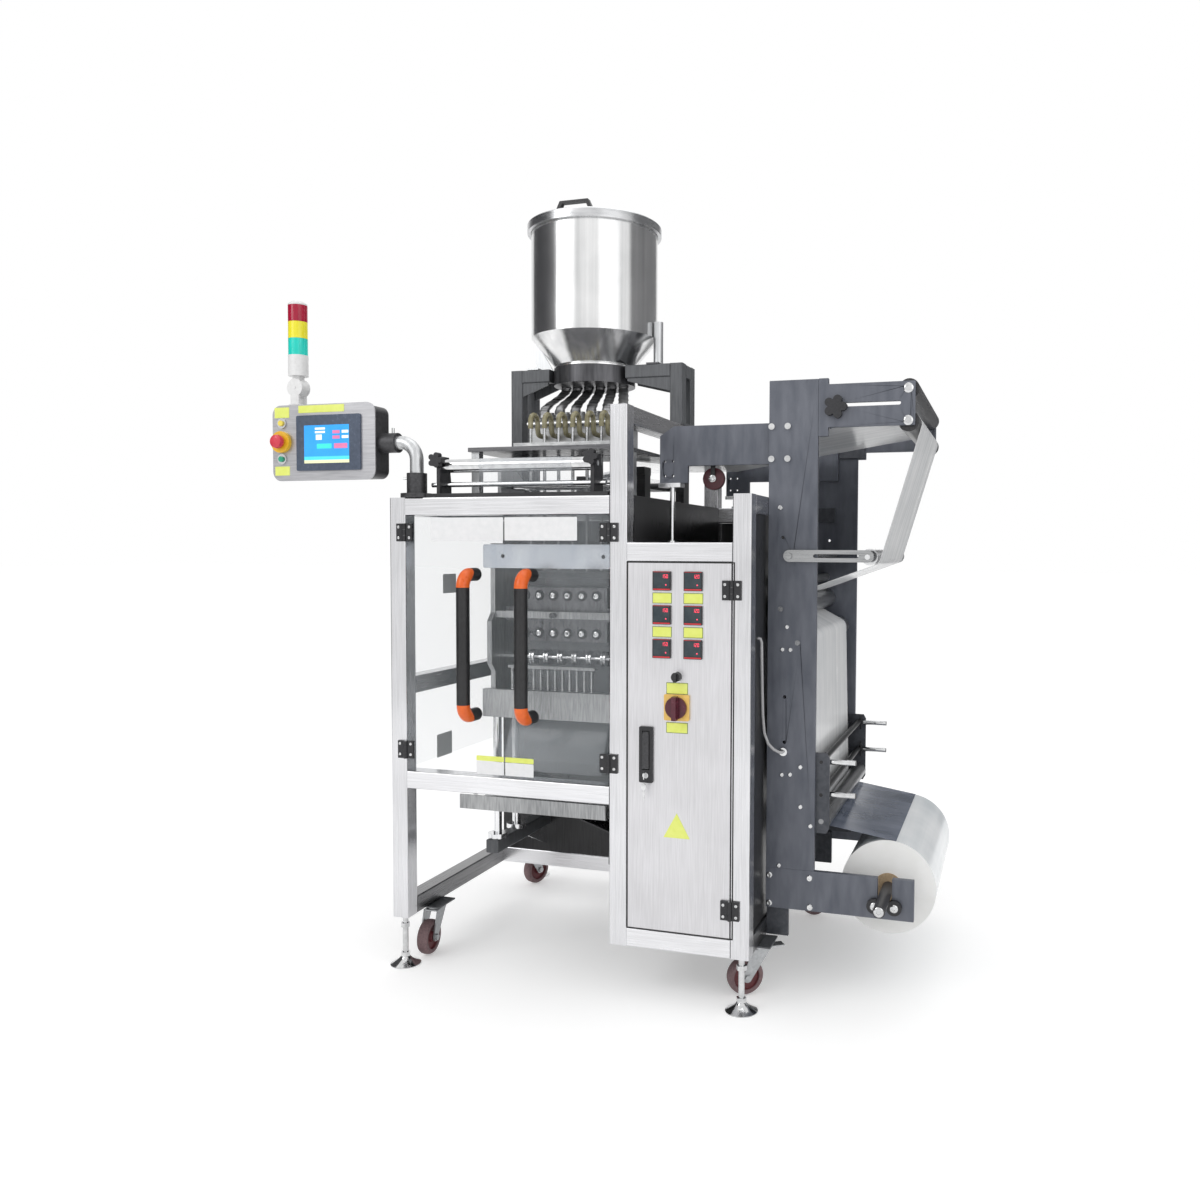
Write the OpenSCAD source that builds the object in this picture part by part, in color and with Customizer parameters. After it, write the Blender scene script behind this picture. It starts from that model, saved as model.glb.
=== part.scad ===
// Four-side seal packing machine: six lanes, floor standing, with film rack and operator panel.
// Working axes: X from the frame's left face, Y from its front face towards the back, Z up from the floor.

/* [Frame] */
// Width of the frame over its corner posts
frame_w = 1053; // [1000:1:1100]
// Depth of the frame over its corner posts
frame_d = 900; // [860:1:940]
// Height of the frame's corner posts above the floor
frame_h = 1341; // [1320:1:1370]
// Height of the two middle posts above the floor
mid_post_h = 1578; // [1560:1:1600]
// Outer size of the square frame tube
tube = 50; // [46:1:54]
// Corner radius of the square frame tube
tube_r = 4; // [2:1:6]
// Left face of the middle posts, where the electrical cabinet begins
cabinet_x = 667; // [655:1:680]
// Underside of the posts above the floor
post_base = 143; // [140:1:150]
// Underside of the rail below the clear doors
lower_rail_z = 518; // [505:1:530]
// Underside of the rail half way up the left side
side_rail_z = 783; // [770:1:800]
// Underside of the rail above the cabinet door
cabinet_rail_z = 1167; // [1150:1:1180]
// Front face of the inner cross rails
cross_rail_y = 566; // [540:1:590]
// Gap left at each welded or clamped joint
joint_gap = 0.2; // [0.1:0.1:0.3]

/* [Feet and casters] */
// Diameter of a levelling foot's pad
foot_d = 86; // [70:1:90]
// Diameter of a levelling foot's screw
foot_stem_d = 16; // [12:1:20]
// Distance of each swivel axis from the frame's front or back face
caster_y = 150; // [145:1:170]
// Distance of the left swivel axes from the frame's left face
caster_left_x = 46; // [40:1:60]
// Distance of the right swivel axes from the frame's right face
caster_right_x = 8; // [0:1:20]
// Diameter of a caster wheel
wheel_d = 100; // [90:1:102]
// Width of a caster wheel
wheel_w = 32; // [26:1:36]
// Distance of the wheel's axle from the swivel axis
caster_trail = 42; // [36:1:44]
// Height of the wheels above the floor while the machine stands on its feet
wheel_lift = 2; // [1:0.5:5]

/* [Doors] */
// Thickness of the clear door panels
door_t = 6; // [4:1:8]
// Gap round each door
door_gap = 2; // [1.5:0.5:3]
// Side of a square hinge
hinge_size = 50; // [44:2:54]
// Thickness of a hinge leaf
hinge_t = 6; // [4:1:8]
// Height of the lower hinges of the clear doors above the door's lower edge
hinge_low = 60; // [40:1:90]
// Distance of the upper hinges of the clear doors below the door's upper edge
hinge_high = 46; // [35:1:80]
// Length of a door handle over its ends
handle_l = 421; // [380:1:440]
// Lower end of the door handles above the floor
handle_z = 725; // [700:1:760]
// Diameter of a door handle's grip
handle_d = 36; // [28:1:40]
// Distance of the grip's axis in front of the door
handle_reach = 70; // [55:1:80]
// Distance of each grip's axis from the line where the doors meet
handle_from_meeting = 86; // [70:1:100]
// Depth of the folded edge of the cabinet door
cabinet_door_depth = 20; // [15:1:25]
// Thickness of the sheet metal
sheet = 2; // [1.5:0.5:3]

/* [Cabinet door fittings] */
// Side of a temperature controller's square bezel
controller_size = 50; // [45:1:54]
// Height of the middle of the top row of controllers
controller_z = 1117; // [1100:1:1125]
// Distance between rows of controllers
controller_pitch = 88; // [80:1:92]
// Middle of the left column of controllers from the frame's left face
controller_x = 815; // [800:1:820]
// Distance between the two columns of controllers
controller_cols = 85; // [75:1:90]
// Place of the selector and the main switch from the frame's left face
switch_x = 857; // [850:1:865]
// Height of the selector
selector_z = 869; // [860:1:880]
// Height of the main switch
main_switch_z = 789; // [780:1:800]
// Side of the main switch's square plate
switch_plate = 68; // [60:1:72]
// Diameter of the main switch's knob
switch_knob_d = 58; // [50:1:60]
// Length of the door lock's case
lock_l = 148; // [130:1:160]
// Width of the door lock's case
lock_w = 38; // [34:1:44]
// Lower end of the lock's case above the floor
lock_z = 587; // [570:1:600]

/* [Operator panel] */
// Width of the operator panel
panel_w = 345; // [320:1:360]
// Height of the operator panel
panel_h = 218; // [200:1:230]
// Depth of the operator panel
panel_d = 75; // [65:1:85]
// Corner radius of the operator panel
panel_r = 28; // [15:1:35]
// Underside of the operator panel above the floor
panel_z = 1392; // [1385:1:1400]
// Outer diameter of the panel's support pipe
pipe_d = 38; // [32:1:42]
// Radius of the pipe's bend, at its middle
pipe_bend = 50; // [42:1:60]
// Place of the upright pipe from the frame's left face
pipe_x = 72; // [66:1:80]
// Place of the upright pipe behind the frame's front face
pipe_y = 27; // [25:1:32]
// Diameter of the signal light
beacon_d = 56; // [50:1:60]
// Height of one coloured lens
lens_h = 48; // [40:1:52]

/* [Hopper] */
// Outer radius of the hopper
hopper_r = 198; // [180:1:205]
// Wall of the hopper
hopper_wall = 3; // [2:0.5:4]
// Middle of the hopper from the frame's left face
hopper_x = 404; // [390:1:415]
// Middle of the hopper behind the frame's front face
hopper_y = 520; // [505:1:535]
// Height of the hopper's cylinder
hopper_h = 336; // [300:1:350]
// Height of the hopper's cone
cone_h = 93; // [80:1:110]
// Radius of the outlet collar
collar_r = 128; // [124:1:135]
// Height of the outlet collar
collar_h = 53; // [45:1:60]
// Height of the hopper stand's top above the floor
stand_top = 1765; // [1750:1:1785]
// Size of the hopper stand's square steel
stand_t = 40; // [36:1:44]
// Distance between the front and back steels of the stand, middle to middle
stand_gap = 88; // [80:1:100]
// Left face of the stand's left legs
stand_x = 142; // [130:1:155]

/* [Lanes] */
// Number of lanes
lanes = 6; // [4:1:6]
// Width of one lane
lane_pitch = 46; // [42:1:48]
// Sealing plane behind the frame's front face
seal_y = 300; // [290:1:310]
// Outer diameter of a filling tube
nozzle_d = 10; // [8:1:12]
// Distance between the pump's inlets
inlet_pitch = 53; // [50:1:55]
// Height of the feed rollers' axles above the floor
pull_z = 876; // [860:1:890]
// Diameter of a pull wheel
pull_d = 46; // [40:1:50]
// Height of the middle of the cross sealing jaws
cross_jaw_z = 742; // [735:1:750]
// Thickness of the film, drawn thicker than the real foil
film_t = 0.8; // [0.6:0.1:1]
// Air between the film and what it runs over
film_gap = 0.3; // [0.3:0.1:0.5]

/* [Film rack] */
// Thickness of the rack's plates
plate_t = 15; // [12:1:16]
// Outer face of the front rack plate behind the frame's front face
rack_front = 182; // [175:1:190]
// Outer face of the rear rack plate behind the frame's front face
rack_rear = 908; // [900:1:915]
// Width of the upright rack plates
upright_w = 133; // [125:1:140]
// Height of the upright plates' upper end
upright_top = 1650; // [1640:1:1660]
// Height of the upright plates' lower end
upright_low = 335; // [330:1:345]
// Height of the film roll's axis
roll_z = 286; // [280:1:300]
// Film roll's axis from the frame's left face
roll_x = 1375; // [1365:1:1385]
// Radius of the film roll
roll_r = 128; // [100:1:130]
// Width of the film
film_w = 560; // [520:1:580]
// Diameter of the roll's shaft
shaft_d = 32; // [28:1:36]
// Diameter of the guide rollers
roller_d = 56; // [48:1:58]
// Diameter of the rollers' journals
journal_d = 14; // [12:1:16]

/* [Hidden] */

$fn = 48;
run_gap = 0.08;
panel_x1 = -37;
panel_x0 = panel_x1 - panel_w;
panel_y = -12;
rear_reach = rack_rear + 52;
front_reach = -(handle_reach + handle_d / 2 + 2);
origin_x = (panel_x0 + roll_x + roll_r) / 2;
origin_y = (front_reach + rear_reach) / 2;
post_r = frame_w - tube;
post_b = frame_d - tube;
top_rail_z = frame_h - tube;
stand_y = [hopper_y - (stand_gap + stand_t) / 2, hopper_y + (stand_gap - stand_t) / 2];
stand_x1 = cabinet_x + tube;
collar_z = stand_top - collar_h;
cone_z = stand_top;
cylinder_z = cone_z + cone_h;
rim_z = cylinder_z + hopper_h;
lid_r = hopper_r + 12;

module place() translate([-origin_x, -origin_y, 0]) children();

module block(a, b) translate(a) cube(b - a);

module along_x(p, d, l) translate(p) rotate([0, 90, 0]) cylinder(d = d, h = l);

module along_y(p, d, l) translate(p) rotate([-90, 0, 0]) cylinder(d = d, h = l);

module along_z(p, d, l) translate(p) cylinder(d = d, h = l);

module in_xz(y0, y1) translate([0, y1, 0]) rotate([90, 0, 0]) linear_extrude(y1 - y0) children();

module in_yz(x0, x1) translate([x0, 0, 0]) rotate([90, 0, 90]) linear_extrude(x1 - x0) children();

module rounded(w, h, r) {
  translate([r, 0]) square([w - 2 * r, h]);
  translate([0, r]) square([w, h - 2 * r]);
  for (x = [r, w - r], y = [r, h - r]) translate([x, y]) circle(r, $fn = 24);
}

module bar_x(x0, x1, y, z, t = tube)
  translate([0, y, z]) in_yz(x0 + joint_gap, x1 - joint_gap) rounded(t, t, tube_r);

module bar_y(x, y0, y1, z, t = tube)
  translate([x, 0, z]) in_xz(y0 + joint_gap, y1 - joint_gap) rounded(t, t, tube_r);

module bar_z(x, y, z0, z1, t = tube)
  translate([x, y, z0 + joint_gap]) linear_extrude(z1 - z0 - 2 * joint_gap) rounded(t, t, tube_r);

module hex_nut(p, af, h, bore) translate(p) difference() {
  cylinder(d = af / cos(30), h = h, $fn = 6);
  translate([0, 0, -1]) cylinder(d = bore, h = h + 2);
}

// Star knob with five lobes round a hub, its axis along Y
module star_knob(p, d) translate(p) rotate([90, 0, 0]) {
  linear_extrude(18) {
    circle(d * 0.32);
    for (i = [0:4]) rotate(i * 72) translate([d * 0.32, 0]) circle(d * 0.18, $fn = 24);
  }
}

// Frame

module frame_posts() place() color("gainsboro") {
  for (x = [0, post_r], y = [0, post_b]) bar_z(x, y, post_base, frame_h);
  for (y = [0, post_b]) bar_z(cabinet_x, y, post_base, mid_post_h);
}

module frame_rails() place() color("silver") {
  for (z = [top_rail_z, lower_rail_z]) bar_x(tube, cabinet_x, 0, z);
  for (z = [top_rail_z, lower_rail_z, post_base]) bar_x(tube, cabinet_x, post_b, z);
  for (z = [cabinet_rail_z, post_base]) bar_x(stand_x1, post_r, 0, z);
  for (z = [top_rail_z, post_base]) bar_x(stand_x1, post_r, post_b, z);
  for (z = [top_rail_z, side_rail_z, post_base]) bar_y(0, tube, post_b, z);
  for (z = [top_rail_z, post_base]) bar_y(post_r, tube, post_b, z);
  for (z = [top_rail_z, post_base, mid_post_h - tube]) bar_y(cabinet_x, tube, post_b, z);
  for (z = [top_rail_z, post_base]) bar_x(tube, cabinet_x, cross_rail_y, z);
}

window_t = 5;
window_gap = 0.3;
back_y = cross_rail_y + 2;
back_t = 6;

module side_windows() place() color("lightcyan", 0.4) {
  x = (tube - window_t) / 2;
  y0 = tube + window_gap;
  y1 = post_b - window_gap;
  block([x, y0, side_rail_z + tube + window_gap], [x + window_t, y1, top_rail_z - window_gap]);
  block([x, y0, lower_rail_z + tube], [x + window_t, y1, side_rail_z - window_gap]);
  block([tube + window_gap, post_b + x, lower_rail_z + tube + window_gap],
    [cabinet_x - window_gap, post_b + x + window_t, top_rail_z - window_gap]);
}

module cabinet_panels() place() color("dimgray") {
  z0 = post_base + tube;
  z1 = cabinet_rail_z + tube;
  y0 = tube + window_gap;
  y1 = post_b - window_gap;
  // Divider between the sealing chamber and the cabinet
  block([stand_x1 + window_gap, y0, z0], [stand_x1 + window_gap + sheet, y1, frame_h]);
  // Right side
  block([frame_w - 8, y0, z0 + window_gap], [frame_w - 8 + sheet, y1, top_rail_z - window_gap]);
  // Back plate of the sealing chamber, between the cross rails and beside the divider
  block([tube + window_gap, back_y, z0 + window_gap], [stand_x1, back_y + back_t, top_rail_z - window_gap]);
  // Back, floor and top
  block([stand_x1 + window_gap, frame_d - 8, z0 + window_gap],
    [post_r - window_gap, frame_d - 8 + sheet, top_rail_z - window_gap]);
  x2 = stand_x1 + 2 * window_gap + sheet;
  block([x2, y0, z0 + window_gap], [frame_w - 8 - window_gap, y1, z0 + window_gap + sheet]);
  block([x2, y0, z1 - sheet], [frame_w - 8 - window_gap, y1, z1]);
}

pad_h = 24;

module leveling_foot(x, y) translate([x, y, 0]) {
  stem_r = foot_stem_d / 2;
  rotate_extrude() polygon([[0, 0], [foot_d / 2, 0], [foot_d / 2, 3], [foot_d * 0.36, 9],
    [foot_d * 0.22, 17], [stem_r + 5, pad_h], [stem_r, pad_h],
    [stem_r, post_base], [0, post_base]]);
  for (z = [pad_h + joint_gap, post_base - 34])
    hex_nut([0, 0, z], foot_stem_d * 1.5, 12, foot_stem_d + 2 * run_gap);
}

module leveling_feet() place() color("silver")
  for (x = [tube / 2, frame_w - tube / 2], y = [tube / 2, frame_d - tube / 2]) leveling_foot(x, y);

// Casters

caster_plate_t = 4;
swivel_top = post_base - caster_plate_t - joint_gap;
axle_z = wheel_d / 2 + wheel_lift;
axle_d = 12;
fork_t = 4;
// Swivel axis and the way each fork points, one row to a caster
CASTERS = [[caster_left_x, caster_y, -85], [frame_w - caster_right_x, caster_y, -145],
  [caster_left_x, frame_d - caster_y, 70], [frame_w - caster_right_x, frame_d - caster_y, 40]];

module at_caster(i) place() translate([CASTERS[i][0], CASTERS[i][1], 0]) rotate(CASTERS[i][2]) children();

module caster_fork(i) at_caster(i) {
  half = wheel_w / 2 + 3;
  head_r = 26;
  color("dimgray") difference() {
    union() {
      translate([0, 0, swivel_top - 12]) cylinder(r = head_r, h = 12 - joint_gap);
      block([-head_r + 2, -half - fork_t, swivel_top - 16], [30, half + fork_t, swivel_top - 12]);
      for (y = [-half - fork_t, half]) in_xz(y, y + fork_t) {
        polygon([[-head_r + 2, swivel_top - 12], [30, swivel_top - 12],
          [caster_trail + 12, axle_z + 6], [caster_trail - 12, axle_z - 4]]);
        translate([caster_trail, axle_z]) circle(12.5);
      }
    }
    translate([caster_trail, 0, axle_z]) rotate([90, 0, 0])
      cylinder(d = axle_d + 2 * run_gap, h = wheel_w * 2, center = true);
  }
  // Axle bolt with its head and nut
  color("silver") {
    along_y([caster_trail, -half - fork_t - joint_gap, axle_z], axle_d, 2 * (half + fork_t + joint_gap));
    for (y = [-half - fork_t - joint_gap - 6, half + fork_t + joint_gap])
      translate([caster_trail, y, axle_z]) rotate([-90, 0, 0]) cylinder(d = 19, h = 6, $fn = 6);
  }
  // Brake pedal at the back of the head
  color("dimgray") block([-head_r - 42, -14, swivel_top - 15], [-head_r - joint_gap * 2, 14, swivel_top - 11]);
}

module caster_wheel(i) at_caster(i) translate([caster_trail, 0, axle_z]) rotate([90, 0, 0]) {
  r = wheel_d / 2;
  w = wheel_w / 2;
  color("brown") rotate_extrude() polygon([[axle_d / 2 + run_gap, -w], [14, -w], [16, -8],
    [r * 0.66, -8], [r * 0.72, -w], [r - 5, -w], [r - 1, -w * 0.6], [r, 0], [r - 1, w * 0.6],
    [r - 5, w], [r * 0.72, w], [r * 0.66, 8], [16, 8], [14, w], [axle_d / 2 + run_gap, w]]);
}

module caster_front_left() caster_fork(0);
module wheel_front_left() caster_wheel(0);
module caster_front_right() caster_fork(1);
module wheel_front_right() caster_wheel(1);
module caster_rear_left() caster_fork(2);
module wheel_rear_left() caster_wheel(2);
module caster_rear_right() caster_fork(3);
module wheel_rear_right() caster_wheel(3);

// Doors

meeting_x = (tube + cabinet_x) / 2;
door_z0 = lower_rail_z + tube + door_gap;
door_z1 = top_rail_z - door_gap;
pin_d = 8;
pin_y = -hinge_t;
left_pin_x = tube;
right_pin_x = cabinet_x;
cabinet_pin_x = post_r;
cabinet_z0 = post_base + tube + door_gap;
cabinet_z1 = cabinet_rail_z - door_gap;
DOOR_HINGES = [door_z0 + hinge_low, door_z1 - hinge_high];
CABINET_HINGES = [cabinet_z0 + 75, cabinet_z1 - 70];
knuckle_d = 2 * (hinge_t - joint_gap);

// One square hinge leaf; side is -1 for the leaf to the left of the pin and 1 for the right
module leaf(x, z, side, knuckles) {
  near = 1.5;
  translate([x, 0, z]) difference() {
    union() {
      if (side < 0) block([-hinge_size / 2, -hinge_t, -hinge_size / 2],
        [-near, -joint_gap, hinge_size / 2]);
      else block([near, -hinge_t, -hinge_size / 2], [hinge_size / 2, -joint_gap, hinge_size / 2]);
      for (k = knuckles) {
        translate([0, pin_y, k[0]]) cylinder(d = knuckle_d, h = k[1] - k[0]);
        x0 = side < 0 ? -near - 2 : 0;
        block([x0, -hinge_t, k[0]], [x0 + near + 2, -hinge_t / 2, k[1]]);
      }
    }
    translate([0, pin_y, -hinge_size]) cylinder(d = pin_d + 2 * run_gap, h = 2 * hinge_size);
    for (k = [-1, 1], z2 = [-1, 1]) translate([k * hinge_size * 0.34, 1, z2 * hinge_size * 0.3])
      rotate([90, 0, 0]) cylinder(d = 5, h = hinge_t * 2);
    // The other leaf's knuckles turn in these cut-outs
    for (k = side_cuts(knuckles)) translate([0, pin_y, k[0] - joint_gap])
      cylinder(d = knuckle_d + 1, h = k[1] - k[0] + 2 * joint_gap);
  }
}

FIXED_KNUCKLES = [[-hinge_size / 2, -hinge_size / 6 - 0.4], [hinge_size / 6 + 0.4, hinge_size / 2]];
MOVING_KNUCKLES = [[-hinge_size / 6, hinge_size / 6]];

function side_cuts(knuckles) = len(knuckles) == 1 ? FIXED_KNUCKLES : MOVING_KNUCKLES;

module clear_panel(x0, x1) block([x0, 0, door_z0], [x1, door_t, door_z1]);

// Bow handle: a round grip whose ends bend back to the door
module bow_handle(x) {
  bend = handle_d / 2 + 16;
  z0 = handle_z + handle_d / 2;
  z1 = handle_z + handle_l - handle_d / 2;
  along_z([x, -handle_reach, z0 + bend], handle_d, z1 - z0 - 2 * bend);
  for (end = [[z0, z0 + bend, 180], [z1, z1 - bend, 90]]) {
    translate([x, bend - handle_reach, end[1]]) rotate([90, 0, 90]) rotate(end[2])
      rotate_extrude(angle = 90) translate([bend, 0]) circle(d = handle_d);
    along_y([x, bend - handle_reach, end[0]], handle_d, handle_reach - bend - joint_gap);
  }
}

module left_door_panel() place() color("lightcyan", 0.4)
  clear_panel(tube + door_gap, meeting_x - door_gap / 2);

module right_door_panel() place() color("lightcyan", 0.4)
  clear_panel(meeting_x + door_gap / 2, cabinet_x - door_gap);

module left_door_handle() place() color("black") {
  bow_handle(meeting_x - handle_from_meeting);
  for (z = DOOR_HINGES) leaf(left_pin_x, z, 1, MOVING_KNUCKLES);
}

module right_door_handle() place() color("black") {
  bow_handle(meeting_x + handle_from_meeting);
  for (z = DOOR_HINGES) leaf(right_pin_x, z, -1, MOVING_KNUCKLES);
}

module cabinet_door() place() {
  x0 = stand_x1 + door_gap;
  x1 = post_r - door_gap;
  color("gainsboro") difference() {
    block([x0, 0, cabinet_z0], [x1, cabinet_door_depth, cabinet_z1]);
    block([x0 + sheet, sheet, cabinet_z0 + sheet], [x1 - sheet, cabinet_door_depth + 1, cabinet_z1 - sheet]);
    // Cut-outs for the controllers, the switches and the lock
    for (c = [0, 1], r = [0:2]) translate([controller_x + c * controller_cols, 0, controller_z - r * controller_pitch])
      cube([controller_size - 5, 3 * sheet, controller_size - 5], center = true);
    along_y([switch_x, -1, selector_z], 22, 3 * sheet);
    along_y([switch_x, -1, main_switch_z], 20, 3 * sheet);
    block([lock_x + 6, -1, lock_z + 8], [lock_x + lock_w - 6, 3 * sheet, lock_z + lock_l - 8]);
  }
  color("black") for (z = CABINET_HINGES) leaf(cabinet_pin_x, z, -1, MOVING_KNUCKLES);
}

lock_x = 754;
bezel_t = 5;

// Controllers, switch plates and lock case, each clipped or screwed into the cabinet door
module door_instruments() place() {
  color("black") for (c = [0, 1], r = [0:2])
    translate([controller_x + c * controller_cols, 0, controller_z - r * controller_pitch]) {
      body = controller_size - 6;
      in_xz(-bezel_t, -joint_gap) translate([-controller_size / 2, -controller_size / 2])
        rounded(controller_size, controller_size, 2);
      translate([-body / 2, -joint_gap, -body / 2]) cube([body, 70, body]);
    }
  color("silver") difference() {
    union() {
      along_y([switch_x, -4, selector_z], 29, 4 - joint_gap);
      along_y([switch_x, -1, selector_z], 21, 30);
    }
    along_y([switch_x, -5, selector_z], 10 + 2 * run_gap, 40);
  }
  color("gold") difference() {
    union() {
      in_xz(-7, -joint_gap) translate([switch_x - switch_plate / 2, main_switch_z - switch_plate / 2])
        rounded(switch_plate, switch_plate, 4);
      along_y([switch_x, -1, main_switch_z], 19, 12);
      block([switch_x - 26, 10, main_switch_z - 26], [switch_x + 26, 62, main_switch_z + 26]);
    }
    along_y([switch_x, -8, main_switch_z], 10 + 2 * run_gap, 30);
  }
  color("dimgray") difference() {
    union() {
      in_xz(-6, -joint_gap) translate([lock_x, lock_z]) rounded(lock_w, lock_l, 4);
      block([lock_x + 7, -1, lock_z + 9], [lock_x + lock_w - 7, 14, lock_z + lock_l - 9]);
    }
    // Tray that the handle lies in
    block([lock_x + 9, -7, lock_z + 34], [lock_x + lock_w - 9, 8, lock_z + lock_l - 11]);
    along_x([lock_x - 1, -1, lock_z + lock_l - 20], 6 + 2 * run_gap, lock_w + 2);
  }
  // Lock cylinder and its keys
  color("silver") {
    along_y([lock_x + lock_w / 2, -10, lock_z + 20], 16, 4 - joint_gap);
    block([lock_x + lock_w / 2 - 1.5, -22, lock_z + 12], [lock_x + lock_w / 2 + 1.5, -10 - joint_gap, lock_z + 28]);
  }
}

// Swing handle: it turns out of its tray about a cross pin at its upper end
module lock_handle() place() color("dimgray") {
  z1 = lock_z + lock_l - 13;
  x = lock_x + lock_w / 2;
  block([lock_x + 10, -9, lock_z + 37], [lock_x + lock_w - 10, -2, z1 - 7]);
  along_x([lock_x + 7, -1, lock_z + lock_l - 20], 6, lock_w - 14);
  translate([x, 0, 0]) in_yz(-8, 8) polygon([[-9, z1 - 7], [-9, z1 - 4], [-4, z1 + 1], [2, z1 + 1], [3, z1 - 12], [-2, z1 - 12]]);
}

module main_switch_knob() place() color("darkred") {
  y = -7 - joint_gap;
  translate([switch_x, y, main_switch_z]) rotate([90, 0, 0]) {
    difference() {
      cylinder(d = switch_knob_d, h = 14);
      for (s = [-1, 1]) translate([s * 19 - 10, -switch_knob_d, 6]) cube([20, 2 * switch_knob_d, 20]);
    }
    translate([-6, -switch_knob_d / 2 - 2, 4]) cube([12, switch_knob_d + 4, 20]);
    translate([0, 0, -18]) cylinder(d = 10, h = 20);
  }
}

module selector_knob() place() color("black") {
  translate([switch_x, -4 - joint_gap, selector_z]) rotate([90, 0, 0]) {
    cylinder(d = 24, h = 12);
    translate([-4, -12, 10]) cube([8, 24, 10]);
    translate([0, 0, -22]) cylinder(d = 10, h = 24);
  }
}

// Fixed hinge leaves with their pins, the arm's socket and the caster plates
pipe_z = panel_z + 105;
socket_h = 57;
flange_t = 12;

module frame_fittings() place() {
  color("black") {
    for (z = DOOR_HINGES) {
      leaf(left_pin_x, z, -1, FIXED_KNUCKLES);
      leaf(right_pin_x, z, 1, FIXED_KNUCKLES);
    }
    for (z = CABINET_HINGES) leaf(cabinet_pin_x, z, 1, FIXED_KNUCKLES);
  }
  color("silver") {
    for (z = DOOR_HINGES, x = [left_pin_x, right_pin_x])
      along_z([x, pin_y, z - hinge_size / 2], pin_d, hinge_size);
    for (z = CABINET_HINGES) along_z([cabinet_pin_x, pin_y, z - hinge_size / 2], pin_d, hinge_size);
  }
  color("dimgray") difference() {
    union() {
      along_z([pipe_x, pipe_y, frame_h + joint_gap], 90, flange_t - joint_gap);
      along_z([pipe_x, pipe_y, frame_h + flange_t - 1], pipe_d + 18, socket_h + 1);
    }
    along_z([pipe_x, pipe_y, frame_h + flange_t], pipe_d + 2 * run_gap, socket_h + 1);
    for (a = [45:90:315]) translate([pipe_x + 36 * cos(a), pipe_y + 36 * sin(a), frame_h - 1])
      cylinder(d = 7, h = flange_t + 2);
  }
  // Clamp screw of the socket
  color("silver") along_x([pipe_x - pipe_d / 2 - 9 - 16, pipe_y, frame_h + flange_t + socket_h - 14], 8, 16 - joint_gap);
  color("dimgray") for (c = CASTERS)
    block([c[0] - 40, c[1] - 45, post_base - caster_plate_t], [c[0] + 40, c[1] + 45, post_base]);
}

// Operator panel and its arm

collar_l = 57;

module panel_arm() place() {
  color("lightgray") {
    along_z([pipe_x, pipe_y, frame_h + flange_t + joint_gap], pipe_d,
      pipe_z - pipe_bend - frame_h - flange_t - joint_gap);
    translate([pipe_x - pipe_bend, pipe_y, pipe_z - pipe_bend]) rotate([90, 0, 0])
      rotate_extrude(angle = 90) translate([pipe_bend, 0]) circle(d = pipe_d);
    along_x([panel_x1 + 4, pipe_y, pipe_z], pipe_d, pipe_x - pipe_bend - panel_x1 - 4);
  }
}

// Shell with its front frame, the tilting collar on the pipe, and the foot of the signal light
module operator_panel() place() {
  y1 = panel_y + panel_d;
  face_t = 4;
  color("dimgray") difference() {
    union() {
      in_xz(panel_y + face_t + joint_gap, y1) translate([panel_x0 + 6, panel_z + 6])
        rounded(panel_w - 12, panel_h - 12, panel_r - 4);
      along_x([panel_x1 - 7, pipe_y, pipe_z], pipe_d + 18, collar_l);
    }
    along_x([panel_x1 - 6, pipe_y, pipe_z], pipe_d + 2 * run_gap, collar_l + 12);
    // Pockets behind the screen and the buttons
    in_xz(panel_y - 1, panel_y + 40) translate([screen_x0 + 6, screen_z0 + 6])
      square([screen_w - 12, screen_h - 12]);
    for (b = BUTTONS) along_y([b[0], panel_y - 1, b[1]], b[2] + 1, 32);
  }
  color("silver") difference() {
    in_xz(panel_y, panel_y + face_t) translate([panel_x0, panel_z]) rounded(panel_w, panel_h, panel_r);
    in_xz(panel_y - 1, panel_y + face_t + 1) translate([screen_x0 + 6, screen_z0 + 6])
      square([screen_w - 12, screen_h - 12]);
    for (b = BUTTONS) along_y([b[0], panel_y - 1, b[1]], b[2] + 1, face_t + 2);
  }
  color("gold") difference() {
    along_y([BUTTONS[0][0], panel_y - 12, BUTTONS[0][1]], 62, 12 - joint_gap);
    along_y([BUTTONS[0][0], panel_y - 13, BUTTONS[0][1]], BUTTONS[0][2] + 1, 14);
  }
  color("lightgray") for (b = [BUTTONS[1], BUTTONS[2]]) difference() {
    along_y([b[0], panel_y - 5, b[1]], 30, 5 - joint_gap);
    along_y([b[0], panel_y - 6, b[1]], b[2] + 1, 7);
  }
  // Clamp screw of the collar
  color("silver") along_z([panel_x1 + collar_l - 24, pipe_y, pipe_z + pipe_d / 2 + 9 + joint_gap], 8, 14);
  // Foot of the signal light: a base and two cheeks
  color("white") {
    z0 = panel_z + panel_h - 6 + joint_gap;
    difference() {
      union() {
        along_z([beacon_x, beacon_y, z0], beacon_d, 10);
        for (y = [-hub_w / 2 - hub_cheek - hub_gap, hub_w / 2 + hub_gap])
          in_xz(beacon_y + y, beacon_y + y + hub_cheek) {
            translate([beacon_x, hub_z]) circle(hub_r);
            translate([beacon_x - 14, z0 + 5]) square([28, hub_z - z0 - 5]);
          }
      }
      along_y([beacon_x, beacon_y - 40, hub_z], 8 + 2 * run_gap, 80);
    }
  }
}

screen_w = 214;
screen_h = 158;
screen_x0 = panel_x0 + 86;
screen_z0 = panel_z + 28;
button_x = panel_x0 + 34;
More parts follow.
